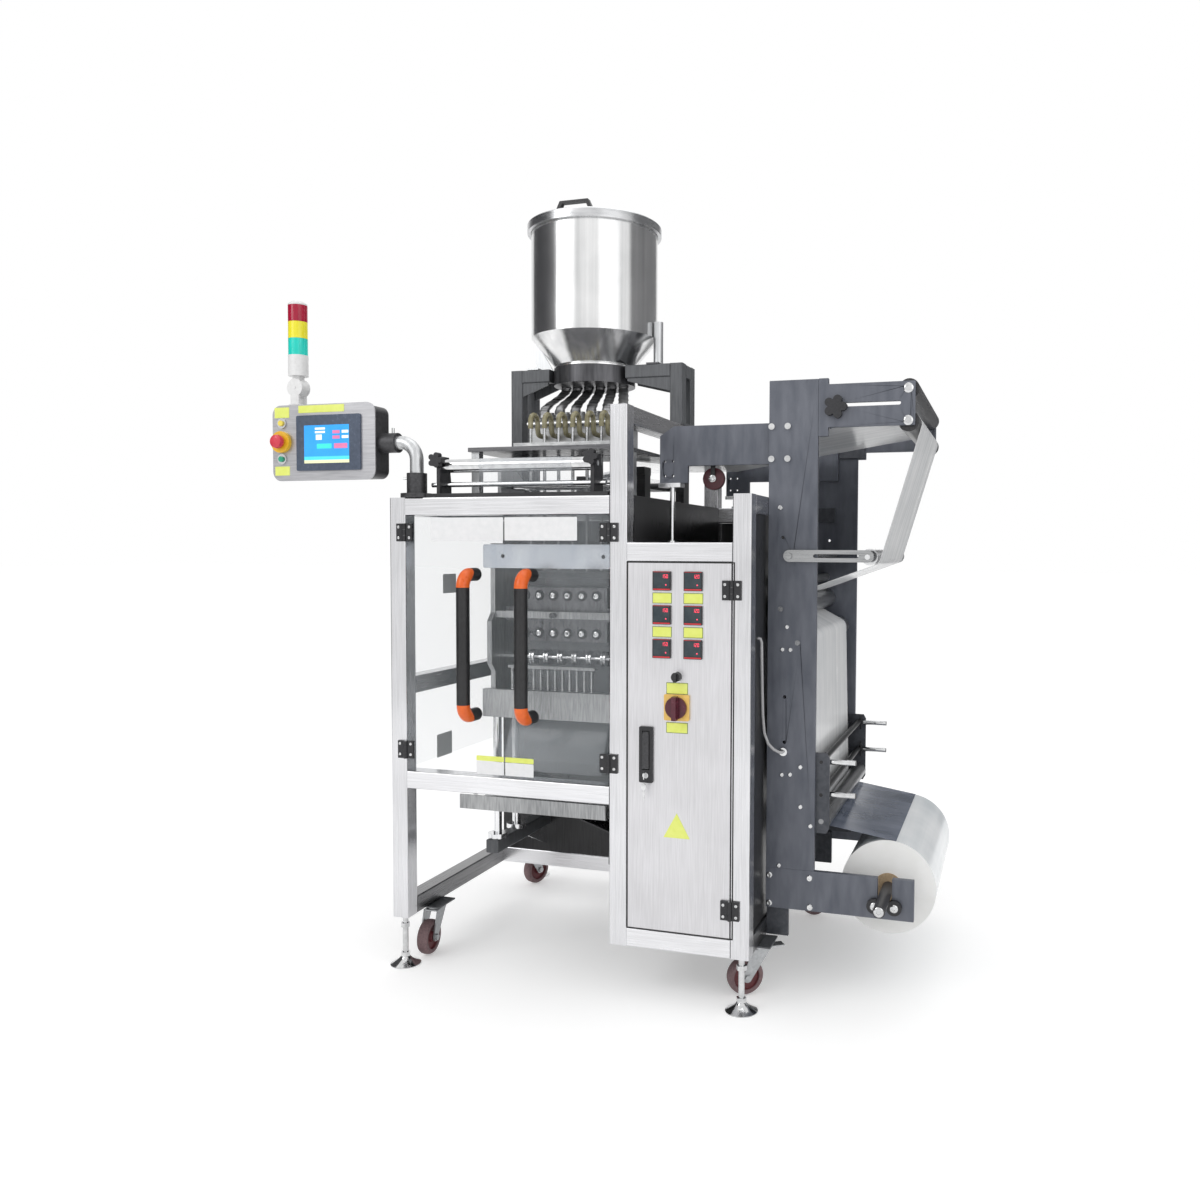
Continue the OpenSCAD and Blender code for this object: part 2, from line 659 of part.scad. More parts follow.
// Middle, height and shaft diameter: emergency stop, yellow button, green button
BUTTONS = [[button_x, panel_z + 112, 22], [button_x, panel_z + 166, 16], [button_x, panel_z + 63, 16]];
beacon_x = panel_x0 + 62;
beacon_y = panel_y + 37;
hub_r = 26;
hub_w = 22;
hub_cheek = 7;
hub_gap = 0.3;
hub_z = panel_z + panel_h + 54;

module touch_screen() place() color("steelblue") {
  in_xz(panel_y - 6, panel_y - joint_gap) translate([screen_x0, screen_z0]) rounded(screen_w, screen_h, 5);
  in_xz(panel_y - joint_gap - 0.5, panel_y + 34) translate([screen_x0 + 8, screen_z0 + 8])
    square([screen_w - 16, screen_h - 16]);
}

module push_button(b, head_d, out, inside) translate([b[0], panel_y - out, b[1]]) rotate([-90, 0, 0]) {
  cylinder(d = head_d, h = out - inside);
  cylinder(d = b[2], h = out + 20);
}

// Mushroom head that stands clear of its yellow collar by the travel of the button
module estop_button() place() color("red") {
  translate([BUTTONS[0][0], panel_y - 12, BUTTONS[0][1]]) rotate([90, 0, 0])
    rotate_extrude() polygon([[0, -30], [BUTTONS[0][2] / 2, -30], [BUTTONS[0][2] / 2, 6],
      [19, 6], [20, 12], [18, 20], [12, 23], [0, 24]]);
}

module yellow_button() place() color("yellow") push_button(BUTTONS[1], BUTTONS[1][2], 10, 5);

module green_button() place() color("green") push_button(BUTTONS[2], BUTTONS[2][2], 10, 5);

// Signal light: hub, base, three coloured lenses and a cap
module beacon() place() {
  base_z = hub_z + 34;
  base_h = 60;
  color("white") {
    in_xz(beacon_y - hub_w / 2, beacon_y + hub_w / 2) {
      translate([beacon_x, hub_z]) circle(hub_r);
      translate([beacon_x - 12, hub_z]) square([24, 35]);
    }
    along_z([beacon_x, beacon_y, base_z], beacon_d, base_h - joint_gap);
    along_y([beacon_x, beacon_y - hub_w / 2 - hub_cheek - 2, hub_z], 8, hub_w + 2 * hub_cheek + 4);
  }
  for (i = [0:2]) color(["mediumturquoise", "yellow", "crimson"][i])
    along_z([beacon_x, beacon_y, base_z + base_h + i * lens_h], beacon_d - 2, lens_h - joint_gap);
  color("white") translate([beacon_x, beacon_y, base_z + base_h + 3 * lens_h])
    rotate_extrude() polygon([[0, 0], [beacon_d / 2 - 1, 0], [beacon_d / 2 - 1, 4], [beacon_d / 2 - 8, 10], [0, 12]]);
}

// Hopper and its stand

module hopper_stand() place() color("dimgray") {
  leg_z = [frame_h + low_deck_t + 9, mid_post_h + 8];
  xs = [stand_x, stand_x1 - stand_t];
  for (s = [0, 1]) {
    // Foot plate under both legs of a side
    block([xs[s] - 8, stand_y[0] - 8, leg_z[s] - 8], [xs[s] + stand_t + (s == 0 ? 8 : 0), stand_y[1] + stand_t + 8, leg_z[s] - joint_gap]);
    for (y = stand_y) bar_z(xs[s], y, leg_z[s], stand_top, stand_t);
    bar_y(xs[s], stand_y[0] + stand_t, stand_y[1], stand_top - stand_t, stand_t);
  }
  for (y = stand_y) {
    bar_x(stand_x + stand_t, hopper_x - collar_r, y, stand_top - stand_t, stand_t);
    bar_x(hopper_x + collar_r, stand_x1 - stand_t, y, stand_top - stand_t, stand_t);
    // Tapered gusset under each beam
    z = stand_top - stand_t - joint_gap;
    in_xz(y + 4, y + 10) polygon([[stand_x + stand_t + joint_gap, z], [hopper_x - collar_r - 6, z],
      [hopper_x - collar_r - 6, z - 8], [stand_x + stand_t + joint_gap, z - 42]]);
    in_xz(y + 4, y + 10) polygon([[stand_x1 - stand_t - joint_gap, z], [hopper_x + collar_r + 6, z],
      [hopper_x + collar_r + 6, z - 8], [stand_x1 - stand_t - joint_gap, z - 42]]);
  }
}

module hopper() place() {
  r0 = collar_r - 4;
  color("silver") translate([hopper_x, hopper_y, 0]) rotate_extrude($fn = 96)
    polygon([[r0 - 8, cone_z + joint_gap], [collar_r, cone_z + joint_gap], [collar_r, cone_z + 4],
      [r0, cone_z + 6], [hopper_r, cylinder_z], [hopper_r, rim_z], [hopper_r - hopper_wall, rim_z],
      [hopper_r - hopper_wall, cylinder_z + 1], [r0 - 8, cone_z + 7]]);
  color("dimgray") translate([hopper_x, hopper_y, 0]) difference() {
    translate([0, 0, collar_z]) cylinder(r = collar_r, h = collar_h);
    for (i = [0:lanes - 1]) translate([(i - (lanes - 1) / 2) * outlet_pitch, 0, collar_z - 1])
      cylinder(d = hose_d - 4, h = collar_h + 2);
  }
  // Brackets that carry the hopper on the stand: a sheet on the left and a tube on the right
  color("lightgray") {
    in_xz(hopper_y - 3, hopper_y + 3) polygon([[stand_x + stand_t + 20, stand_top + joint_gap],
      [hopper_x - collar_r - 12, stand_top + joint_gap], [hopper_x - hopper_r - 0.3, cylinder_z],
      [hopper_x - hopper_r - 0.3, cylinder_z + 40], [hopper_x - hopper_r - 14, cylinder_z + 40]]);
    for (x = [stand_x + stand_t + 16, hopper_x + hopper_r - 2])
      block([x, stand_y[0], stand_top + 2 * joint_gap], [x + 40, stand_y[1] + stand_t, stand_top + 5]);
    along_z([hopper_x + hopper_r + 15.3, hopper_y, stand_top + 5 + joint_gap], 30, cylinder_z + 40 - stand_top);
  }
}

handle_y = hopper_y - 154;

module hopper_lid() place() {
  lift = 0.3;
  z = rim_z - 12;
  color("silver") translate([hopper_x, hopper_y, z]) rotate_extrude($fn = 96)
    polygon([[0, 12 + lift], [hopper_r + 1, 12 + lift], [hopper_r + 1, 0], [lid_r, 0],
      [lid_r, 24], [lid_r - 4, 28], [0, 36]]);
  // Bow handle near the lid's front edge
  color("black") translate([hopper_x, handle_y, z + 30.4]) {
    in_xz(-9, 9) polygon([[-62, 0], [-50, 0], [-38, 26], [38, 26], [50, 0], [62, 0], [46, 34], [-46, 34]]);
  }
}

// Hoses

hose_d = 34;
outlet_pitch = 39;
pump_y0 = hopper_y - 125;
pump_y1 = pump_y0 + 70;
pump_z0 = 1500;
pump_z1 = 1592;
pump_half = (lanes - 1) / 2 * inlet_pitch + 34;

function blend(a, b, t) = a + (b - a) * t;
// Smooth step from one end of a hose to the other
function ease(t) = t * t * (3 - 2 * t);
function ring(c, r, n) = [for (k = [0:n - 1]) [c[0] + r * cos(k * 360 / n), c[1] - r * sin(k * 360 / n), c[2]]];

function tube_faces(m, n) = concat([[for (k = [0:n - 1]) k]],
  [for (i = [0:m - 2], k = [0:n - 1]) [i * n + k, (i + 1) * n + k, (i + 1) * n + (k + 1) % n, i * n + (k + 1) % n]],
  [[for (k = [0:n - 1]) m * n - 1 - k]]);

// Tube swept down through rings that stay level, so that both ends lie flat
module level_tube(centres, radii, n = 10) {
  m = len(centres);
  polyhedron([for (i = [0:m - 1]) each ring(centres[i], radii[i], n)], tube_faces(m, n));
}

// Tube along a route; every ring keeps one spoke square to the given direction
function unit(v) = v / norm(v);
function tangent(p, i) = unit(p[min(i + 1, len(p) - 1)] - p[max(i - 1, 0)]);
module route_tube(p, r, square_to, n = 8) {
  m = len(p);
  points = [for (i = [0:m - 1]) let (t = tangent(p, i), u = unit(cross(t, square_to)), v = cross(t, u))
    each [for (k = [0:n - 1]) p[i] + r * (u * cos(k * 360 / n) + v * sin(k * 360 / n))]];
  polyhedron(points, tube_faces(m, n));
}

module feed_hose(i) {
  k = i - (lanes - 1) / 2;
  steps = 12;
  top = [hopper_x + k * outlet_pitch, hopper_y, collar_z - joint_gap];
  low = [hopper_x + k * inlet_pitch, pump_y0 + 35, pump_z1 + 16];
  centres = [for (j = [0:steps]) let (t = j / steps, e = ease(min(1, t * 1.2)))
    [blend(top[0], low[0], e), blend(top[1], low[1], e), blend(top[2], low[2], t)]];
  radii = [for (j = [0:steps]) hose_d / 2 - (j % 2 == 0 ? 0 : 2)];
  level_tube(centres, radii);
}

arch_r = 24;
nozzle_top = 1560;
arch_z = 1580;
nozzle_low = 1135;

// Yellowish dosing hose: level out of the pump, round a bend, over an arch and into the filling tube
module dosing_hose(i) {
  x = hopper_x + (i - (lanes - 1) / 2) * lane_pitch;
  back = seal_y + 2 * arch_r;
  bend_r = 16;
  low = 1545;
  route = concat([[x, pump_y0 - joint_gap, low], [x, back + bend_r + 6, low]],
    [for (a = [0:30:90]) [x, back + bend_r * (1 - sin(a)), low + bend_r * (1 - cos(a))]],
    [for (a = [0:20:180]) [x, seal_y + arch_r + arch_r * cos(a), arch_z + arch_r * sin(a)]],
    [[x, seal_y, nozzle_top]]);
  route_tube(route, nozzle_d / 2 + 3, [1, 0, 0]);
}

// Route of the grey sensor cable from behind the cabinet's post to the gland on the rack plate
CABLE = [[1047.3, 100, 966], [1053, 100, 966], [1056, 103, 955], [1054, 115, 900], [1052, 130, 820],
  [1052, 138, 760], [1055, 144, 710], [1065, 148, 680], [1080, 152, 664], [1094, 156, 657],
  [1101, 162, 656], [1101, 168.6, 656]];

module hoses_and_cables() place() {
  color("dimgray") for (i = [0:lanes - 1]) feed_hose(i);
  color("khaki") for (i = [0:lanes - 1]) dosing_hose(i);
  color("silver") route_tube(CABLE, 4, [0, 1, 1]);
}

// Pump and filling tubes

module pump_block() place() {
  color("silver") {
    difference() {
      block([hopper_x - pump_half, pump_y0, pump_z0], [hopper_x + pump_half, pump_y1, pump_z1]);
      for (i = [0:lanes - 1]) translate([hopper_x + (i - (lanes - 1) / 2) * inlet_pitch, pump_y0 + 35, pump_z0 - 1])
        cylinder(d = 20, h = pump_z1 - pump_z0 + 2);
    }
    // Hose spigots on top
    for (i = [0:lanes - 1]) translate([hopper_x + (i - (lanes - 1) / 2) * inlet_pitch, pump_y0 + 35, pump_z1 + joint_gap])
      difference() {
        cylinder(d = 26, h = 15.6);
        translate([0, 0, -1]) cylinder(d = 20, h = 18);
      }
    // Piston cylinders behind the block
    for (i = [0:lanes - 1]) translate([hopper_x + (i - (lanes - 1) / 2) * inlet_pitch, piston_y, pump_z0])
      difference() {
        cylinder(d = cylinder_d, h = pump_z1 - pump_z0 - 4);
        translate([0, 0, 10]) cylinder(d = rod_d + 2 * run_gap, h = pump_z1 - pump_z0);
      }
    // Feet on the upper deck
    for (x = [-pump_half + 4, pump_half - 34], y = [pump_y0 + 4, pump_y1 - 24])
      block([hopper_x + x, y, deck_z + deck_t + joint_gap], [hopper_x + x + 30, y + 20, pump_z0 - joint_gap]);
    // Filling tubes
    for (i = [0:lanes - 1]) translate([hopper_x + (i - (lanes - 1) / 2) * lane_pitch, seal_y, nozzle_low])
      difference() {
        cylinder(d = nozzle_d, h = nozzle_top - nozzle_low - joint_gap);
        translate([0, 0, -1]) cylinder(d = nozzle_d - 3, h = nozzle_top - nozzle_low + 2);
      }
    // Bar that holds the filling tubes
    difference() {
      block([hopper_x - pump_half, seal_y - 12, deck_z + deck_t + joint_gap],
        [hopper_x + pump_half, seal_y + 12, deck_z + deck_t + 30]);
      for (i = [0:lanes - 1]) along_z([hopper_x + (i - (lanes - 1) / 2) * lane_pitch, seal_y, deck_z],
        nozzle_d + 0.4, 60);
    }
    // Rods along the front of the pump
    for (z = [pump_z0 + 8, pump_z0 + 84]) along_x([hopper_x - pump_half, pump_y0 - 9, z], 17, 2 * pump_half);
  }
}

// Bar above the piston cylinders that works the six pistons together
module pump_bar() place() color("lightgray") {
  z = pump_z1 + 12;
  block([hopper_x - pump_half, piston_y - 12, z], [hopper_x + pump_half, piston_y + 12, z + 20]);
  for (i = [0:lanes - 1]) translate([hopper_x + (i - (lanes - 1) / 2) * inlet_pitch, piston_y, 0]) {
    translate([0, 0, z - 70]) cylinder(d = rod_d, h = 71);
    translate([0, 0, z + 20 + joint_gap]) cylinder(d = 20, h = 7, $fn = 6);
  }
}

cylinder_d = 34;
rod_d = 12;
piston_y = pump_y1 + cylinder_d / 2 + joint_gap;
deck_z = 1475;
deck_t = 12;
low_deck_t = 10;
roller_y = 50;
front_roller_z = 1430;
front_roller_d = 38;
bracket_x = [138, 604];
bracket_t = 10;
tie_rod_z = 1378;

// Upper and lower deck, what guides the film between them, and the brackets of the front roller
module deck_plates() place() {
  low_z = frame_h + joint_gap;
  floor_z = low_z + low_deck_t + joint_gap;
  color("silver") difference() {
    block([186, 110, deck_z], [652, piston_y + 20, deck_z + deck_t]);
    block([hopper_x - 150, seal_y - 8, deck_z - 1], [hopper_x + 150, seal_y + 8, deck_z + deck_t + 1]);
  }
  color("dimgray") difference() {
    block([56, 4, low_z], [cabinet_x - 6, cross_rail_y + tube - 2, low_z + low_deck_t]);
    block([hopper_x - 170, seal_y - 60, low_z - 1], [hopper_x + 170, seal_y + 60, low_z + low_deck_t + 1]);
    along_z([pipe_x, pipe_y, low_z - 1], 96, 40);
  }
  color("silver") for (c = [[192, 120], [192, piston_y - 10], [626, 120], [626, 222]])
    block([c[0], c[1], floor_z], [c[0] + 24, c[1] + 24, deck_z - joint_gap]);
  color("black") for (x = bracket_x) {
    difference() {
      in_yz(x, x + bracket_t) polygon([[22, floor_z], [84, floor_z],
        [84, 1380], [72, 1456], [28, 1456], [22, 1440]]);
      along_x([x - 1, roller_y, front_roller_z], journal_d + 2 * run_gap, bracket_t + 2);
      along_x([x - 1, roller_y, tie_rod_z], 14 + 2 * run_gap, bracket_t + 2);
    }
    star_knob([x + bracket_t / 2, 21.6, 1444], 44);
  }
  color("silver") along_x([108, roller_y, tie_rod_z], 14, 530);
  // Side plates with the two entry rods of the sealing unit
  color("dimgray") for (x = [guide_x, 2 * hopper_x - guide_x - 12]) difference() {
    in_yz(x, x + 12) polygon([[226, floor_z], [374, floor_z], [374, entry_z + 20], [290, web_z - 8],
      [236, web_z - 8], [226, web_z - 18]]);
    for (s = [-1, 1]) along_x([x - 1, seal_y + s * entry_half, entry_z], entry_d + 2 * run_gap, 14);
  }
  color("silver") for (s = [-1, 1]) along_x([guide_x, seal_y + s * entry_half, entry_z], entry_d, 2 * (hopper_x - guide_x));
  // Turning bar at 45 degrees, its holder and the rear blocks
  color("silver") translate([guide_x + 23, fold_y + fold_x - guide_x - 23, fold_z])
    rotate([0, 90, -45]) cylinder(d = fold_d, h = (fold_x - 14 - guide_x - 23) * sqrt(2));
  color("dimgray") {
    block([fold_x - 3, fold_y - 30, fold_z - 12], [fold_x + 30, fold_y + 30, fold_z + 12]);
    block([fold_x + 2, fold_y - 25, floor_z], [fold_x + 30, fold_y + 25, fold_z - 11]);
    for (x = [guide_x - 18, fold_x + 26]) difference() {
      block([x, 832, low_z], [x + 30, post_b + 40, fold_z + 10]);
      along_x([x - 1, rear_rod_y, rear_rod_z], fold_d + 2 * run_gap, 32);
    }
  }
  color("silver") along_x([guide_x - 18, rear_rod_y, rear_rod_z], fold_d, fold_x + 74 - guide_x);
}

// The film's level over the frame, and the corner where its slit rear half folds over the turning bar
web_z = 1462.3;
web_w = film_w / 2;
fold_d = 30;
fold_x = hopper_x + web_w / 2;
fold_y = (rack_front + rack_rear) / 2;
fold_z = web_z - fold_d / 2 - film_gap - film_t / 2;
guide_x = 218;
rear_rod_y = post_b + 16;
rear_rod_z = fold_z - fold_d - 2 * film_gap - film_t;
entry_z = 1385;
entry_d = 16;
entry_half = 25 + entry_d / 2 + film_gap + film_t / 2;

module front_roller() place() color("silver")
  translate([0, roller_y, front_roller_z]) rotate([0, 90, 0]) {
    x0 = bracket_x[0] + bracket_t + 2;
    x1 = bracket_x[1] - 2;
    translate([0, 0, x0]) cylinder(d = front_roller_d, h = x1 - x0);
    translate([0, 0, bracket_x[0]]) cylinder(d = journal_d, h = bracket_x[1] + bracket_t - bracket_x[0]);
  }

// Sealing unit

cheek_t = 15;
cheek_x = [hopper_x - 205, hopper_x + 190];
cheek_y0 = 215;
cheek_y1 = 385;
jaw_open = 16;
lane_w = lanes * lane_pitch;
pull_y = pull_d / 2 + film_gap + film_t * 1.5;

module heater(y0, y1, z0, z1) {
  x0 = hopper_x - lane_w / 2 - 10;
  x1 = hopper_x + lane_w / 2 + 10;
  block([x0, y0, z0], [x1, y1, z1]);
}

// Aluminium cheeks, cover plate, cross seal housing, rear jaws and guide columns
module seal_frame() place() {
  color("silver") {
    for (x = cheek_x) difference() {
      in_yz(x, x + cheek_t) polygon([[cheek_y0, 700], [cheek_y1, 700], [cheek_y1, 1215],
        [cheek_y0, 1215], [cheek_y0, 1010], [cheek_y0 - 22, 985], [cheek_y0 - 22, 860], [cheek_y0, 835]]);
      for (s = [-1, 1]) along_x([x - 1, seal_y + s * pull_y, pull_z], journal_d + 2 * run_gap, cheek_t + 2);
    }
    // Cover plate over the top of the unit
    difference() {
      in_xz(cheek_y0 - 8, cheek_y0 - joint_gap) translate([hopper_x - 225, 1142]) rounded(450, 70, 6);
      for (x = [-160, 160]) along_y([hopper_x + x, cheek_y0 - 9, 1177], 12, 10);
    }
    // Housing of the cross seal
    difference() {
      block([cheek_x[0] - 14, 190, 702], [cheek_x[1] + cheek_t + 14, cheek_y0 - joint_gap, 784]);
      block([cheek_x[0], 200, 690], [cheek_x[1] + cheek_t, cheek_y0 + 1, 776]);
    }
  }
  color("dimgray") {
    // Rear half of the cross seal and its carrier
    heater(seal_y + 2, seal_y + 30, cross_jaw_z - 22, cross_jaw_z + 22);
    block([inner_x0, seal_y + 30 + joint_gap, cross_jaw_z - 18], [inner_x1, seal_y + 50, cross_jaw_z + 18]);
  }
  color("silver") {
    // Guide rods of the moving jaws and the cross bars that hold them
    for (x = guide_rods, z = [vertical_jaw_z, cross_jaw_z])
      along_y([x, bar_y0 + 10, z], 12, (z == cross_jaw_z ? seal_y + 30 : bar_y1) - bar_y0 - 10);
    for (b = [[bar_y0, vertical_jaw_z], [bar_y0, cross_jaw_z], [bar_y1, vertical_jaw_z]]) difference() {
      block([inner_x0, b[0] + joint_gap, b[1] - 10], [inner_x1, b[0] + 10 - joint_gap, b[1] + 10]);
      along_y([hopper_x, b[0] - 1, b[1]], push_rod_d + 2 * run_gap, 12);
    }
    // Guide columns down to the base bars, and the tie bars between the cheeks
    for (x = cheek_x, y = [cheek_y0 + 25, cheek_y1 - 25]) translate([x + cheek_t / 2, y, base_z + joint_gap]) {
      cylinder(d = 25, h = 700 - 2 * joint_gap - base_z);
      cylinder(d = 60, h = 14);
    }
    for (z = [1120, 1195]) block([inner_x0, cheek_y1 - 20, z - 10], [inner_x1, cheek_y1 - 4, z + 10]);
  }
  // Base bars on the chamber's back plate, with a gusset under each
  color("dimgray") for (x = cheek_x) {
    bar_y(x + cheek_t / 2 - 20, cheek_y0 - 10, back_y, base_z - 40, 40);
    y = back_y - joint_gap;
    z = base_z - 40 - joint_gap;
    in_yz(x + cheek_t / 2 - 5, x + cheek_t / 2 + 5) polygon([[y, z], [y - 150, z], [y, z - 70]]);
  }
}

base_z = lower_rail_z - 190;
inner_x0 = cheek_x[0] + cheek_t + joint_gap;
inner_x1 = cheek_x[1] - joint_gap;
guide_rods = [cheek_x[0] + 32, cheek_x[1] - 17];
bar_y0 = 218;
bar_y1 = 372;
push_rod_d = 16;
vertical_jaw_z = 1005;

// Ribbed heater of the vertical seal with its push rod, facing +Y
module ribbed_jaw() {
  z = vertical_jaw_z;
  difference() {
    union() {
      heater(-jaw_open - 20, -jaw_open - 6, z - 80, z + 80);
      for (i = [0:lanes]) translate([hopper_x + (i - lanes / 2) * lane_pitch - 5, -jaw_open - 7, z - 80])
        cube([10, 7, 160]);
      block([inner_x0 + 8, -jaw_open - 20, z - 20], [inner_x1 - 8, -jaw_open - 8, z + 20]);
      along_y([hopper_x, -100, z], push_rod_d, 85 - jaw_open);
    }
    for (x = guide_rods) along_y([x, -60, z], 12 + 2 * run_gap, 60);
    for (i = [0:lanes - 1]) along_x([0, -jaw_open - 13, z - 60 + i * 24], 6, frame_w);
  }
}

module vertical_jaw_front() place() color("dimgray") translate([0, seal_y, 0]) ribbed_jaw();

module vertical_jaw_rear() place() color("dimgray") translate([0, seal_y, 0]) mirror([0, 1, 0]) ribbed_jaw();

// Moving half of the cross seal: two sealing bars with the knife between them
module cross_jaw() place() color("gray") {
  y1 = seal_y - 8;
  z = cross_jaw_z;
  difference() {
    union() {
      heater(y1 - 26, y1 - 4, z - 22, z + 22);
      for (dz = [-18, 10]) heater(y1 - 5, y1, z + dz, z + dz + 8);
      heater(y1 - 5, y1 + 1, z - 1.5, z + 1.5);
      block([inner_x0 + 8, y1 - 26, z - 12], [inner_x1 - 8, y1 - 8, z + 12]);
      along_y([hopper_x, 204, z], push_rod_d, y1 - 225);
    }
    for (x = guide_rods) along_y([x, y1 - 40, z], 12 + 2 * run_gap, 50);
  }
}

// Pull wheels on one shaft: grooved tyres between the lanes, white end knobs on the front one
module pull_shaft(s) translate([0, seal_y + s * pull_y, pull_z]) rotate([0, 90, 0]) {
  x0 = cheek_x[0] - 22;
  x1 = cheek_x[1] + cheek_t + 22;
  color("silver") union() {
    translate([0, 0, x0]) cylinder(d = journal_d, h = x1 - x0);
    for (i = [0:lanes]) translate([0, 0, hopper_x - lane_w / 2 + i * lane_pitch - 9]) rotate_extrude()
      polygon([[0, 0], [pull_d / 2 - 2, 0], [pull_d / 2, 2], [pull_d / 2, 6], [pull_d / 2 - 2, 8],
        [pull_d / 2 - 2, 10], [pull_d / 2, 12], [pull_d / 2, 16], [pull_d / 2 - 2, 18], [0, 18]]);
  }
  color("white") for (x = [x0 - 14 - joint_gap, x1 + joint_gap]) translate([0, 0, x]) cylinder(d = 34, h = 14);
}

module pull_wheels_front() place() pull_shaft(-1);

module pull_wheels_rear() place() pull_shaft(1);

// Clear chute under the cross seal: front and back sheets with two sides
module packet_chute() place() color("lightcyan", 0.4) {
  x0 = hopper_x - lane_w / 2 - 20;
  x1 = hopper_x + lane_w / 2 + 20;
  y0 = seal_y - 40;
  y1 = seal_y + 50;
  top = cross_jaw_z - 45;
  difference() {
    in_yz(x0, x1) polygon([[y0, top], [y1, top], [y1, 545], [y0 - 60, 545], [y0 - 60, 570]]);
    in_yz(x0 + 4, x1 - 4) polygon([[y0 + 4, top + 1], [y1 - 4, top + 1], [y1 - 4, 544], [y0 - 56, 544], [y0 - 56, 569.5]]);
  }
  // Ears under the cheeks
  for (x = [[cheek_x[0] + 2, x0 + 10], [x1 - 10, cheek_x[1] + cheek_t - 2]])
    block([x[0], y0 + 20, top + joint_gap], [x[1], y1 - 20, 700 - joint_gap]);
}

// Aluminium channel and the black slide that packets leave by
module discharge_tray() place() {
  x0 = 216;
  x1 = cabinet_x - 12;
  color("silver") difference() {
    block([x0, 4, 474], [x1, 205, 514]);
    block([x0 - 1, 8, 478], [x1 + 1, 201, 515]);
  }
  color("dimgray") for (x = [x0 + 40, x1 - 52]) block([x, 10, 514 + joint_gap], [x + 12, 202, lower_rail_z - joint_gap]);
  color("black") in_xz(205 + joint_gap, 420)
    polygon([[x0 + 20, 500], [x0 + 24, 500], [588, 384], [588, 380], [x0 + 20, 496]]);
}

// Drive: gear motor on the cross rail that works the jaws through a cam shaft
module drive_unit() place() {
  z = post_base + tube + joint_gap;
  x = cabinet_x - 150;
  y = cross_rail_y + 51;
  color("dimgray") {
    block([x, y - 25, z], [x + 110, y + 75, z + 12]);
    block([x + 5, y - 25, z + 12 + joint_gap], [x + 105, y + 75, z + 132]);
    translate([x + 5 - joint_gap, y + 25, z + 75]) rotate([0, -90, 0]) {
      cylinder(d = 112, h = 14);
      cylinder(d = 92, h = 142);
      for (i = [1:8]) translate([0, 0, 4 + i * 14]) cylinder(d = 102, h = 7);
      translate([0, 0, 140]) cylinder(d = 108, h = 36);
    }
  }
  // Cam disc on the gear box
  color("silver") along_z([x + 55, y + 25, z + 132 + joint_gap], 90, 14);
}

// Film rack

plate_gap = joint_gap;
front_in = rack_front + plate_t;
rear_in = rack_rear - plate_t;
upright_x0 = frame_w;
upright_x1 = frame_w + upright_w;
arm_low_z = upright_low - 110;
roll_arm_x1 = roll_x + 76;
beam_z0 = 1430;
beam_z1 = 1540;
beam_x0 = 738;
top_arm_z = [1522, 1635];
top_arm_x1 = upright_x1 + 251;
top_roller_at = [top_arm_x1 - 17, 1617];
exit_roller_at = [top_arm_x1 - 17, 1534];
arm_pivot = [1113, 1183];
arm_roller_at = [1321, 1181];
guide_roller_at = [1201, 468];
feed_lower_at = [1135, 950];
feed_upper_at = [1088, 1040];
splice_x = 1171;
clamp_pivot_x = 1200;
clamp_pin_d = 10;
splice_t = 6;
CLAMPS_Z = [613, 524];
under_rod_at = [790, web_z + fold_d / 2 + film_gap + film_t / 2];
arm_roller_d = 44;

module roller_bore(p, d = journal_d) translate(p) circle(d = d + 2 * run_gap);

// The outlines are seen from the front; y is the near face of each plate
module rack_side(outer, inner) {
  color("slategray") {
    in_xz(outer[0], outer[1]) difference() {
      translate([upright_x0 + plate_gap, upright_low + plate_gap]) square([upright_w - plate_gap, upright_top - upright_low - plate_gap]);
      roller_bore(arm_pivot, pivot_d);
      roller_bore(feed_lower_at);
      roller_bore(feed_upper_at);
      for (h = [[32, 1312], [40, 1232], [48, 803], [48, 680]]) translate([upright_x0 + h[0], h[1]]) circle(d = 9);
    }
    // Arm of the film roll, with the notch that its shaft lies in
    in_xz(outer[0], outer[1]) difference() {
      translate([upright_x0 + plate_gap, arm_low_z]) square([roll_arm_x1 - upright_x0, upright_low - arm_low_z]);
      translate([roll_x, roll_z]) circle(d = shaft_d + 6);
      translate([roll_x - shaft_d / 2 - 3, roll_z]) square([shaft_d + 6, 100]);
    }
    // Top arm with its long slot
    in_xz(outer[0], outer[1]) difference() {
      union() {
        translate([upright_x1 + plate_gap, top_arm_z[0] - 23]) square([26, top_arm_z[1] - top_arm_z[0] + 39]);
        translate([upright_x1 + plate_gap, top_arm_z[0]]) square([top_arm_x1 - upright_x1, top_arm_z[1] - top_arm_z[0]]);
      }
      translate([upright_x1 + 65, 1575]) square([145, 10]);
      for (x = [upright_x1 + 65, upright_x1 + 210]) translate([x, 1580]) circle(d = 10);
      roller_bore(top_roller_at);
      roller_bore(exit_roller_at);
    }
    // Beam that reaches over the machine, lapped on the inside of the upright
    in_xz(inner[0], inner[1]) difference() {
      polygon([[beam_x0, beam_z0 - 47], [beam_x0 + 81, beam_z0 - 47], [beam_x0 + 81, beam_z0],
        [upright_x0 + 70, beam_z0], [upright_x0 + 70, beam_z1], [beam_x0 + 40, beam_z1], [beam_x0, beam_z1 - 26]]);
      for (x = [14, 38], z = [8, 48]) translate([beam_x0 + x, beam_z0 - 35 + z]) circle(d = 7);
    }
  }
}

module rack_plates() place() {
  rack_side([rack_front, front_in], [front_in + plate_gap, front_in + plate_gap + plate_t]);
  rack_side([rear_in, rack_rear], [rear_in - plate_gap - plate_t, rear_in - plate_gap]);
}

bracket_r = 20;
cradle_dx = 26;

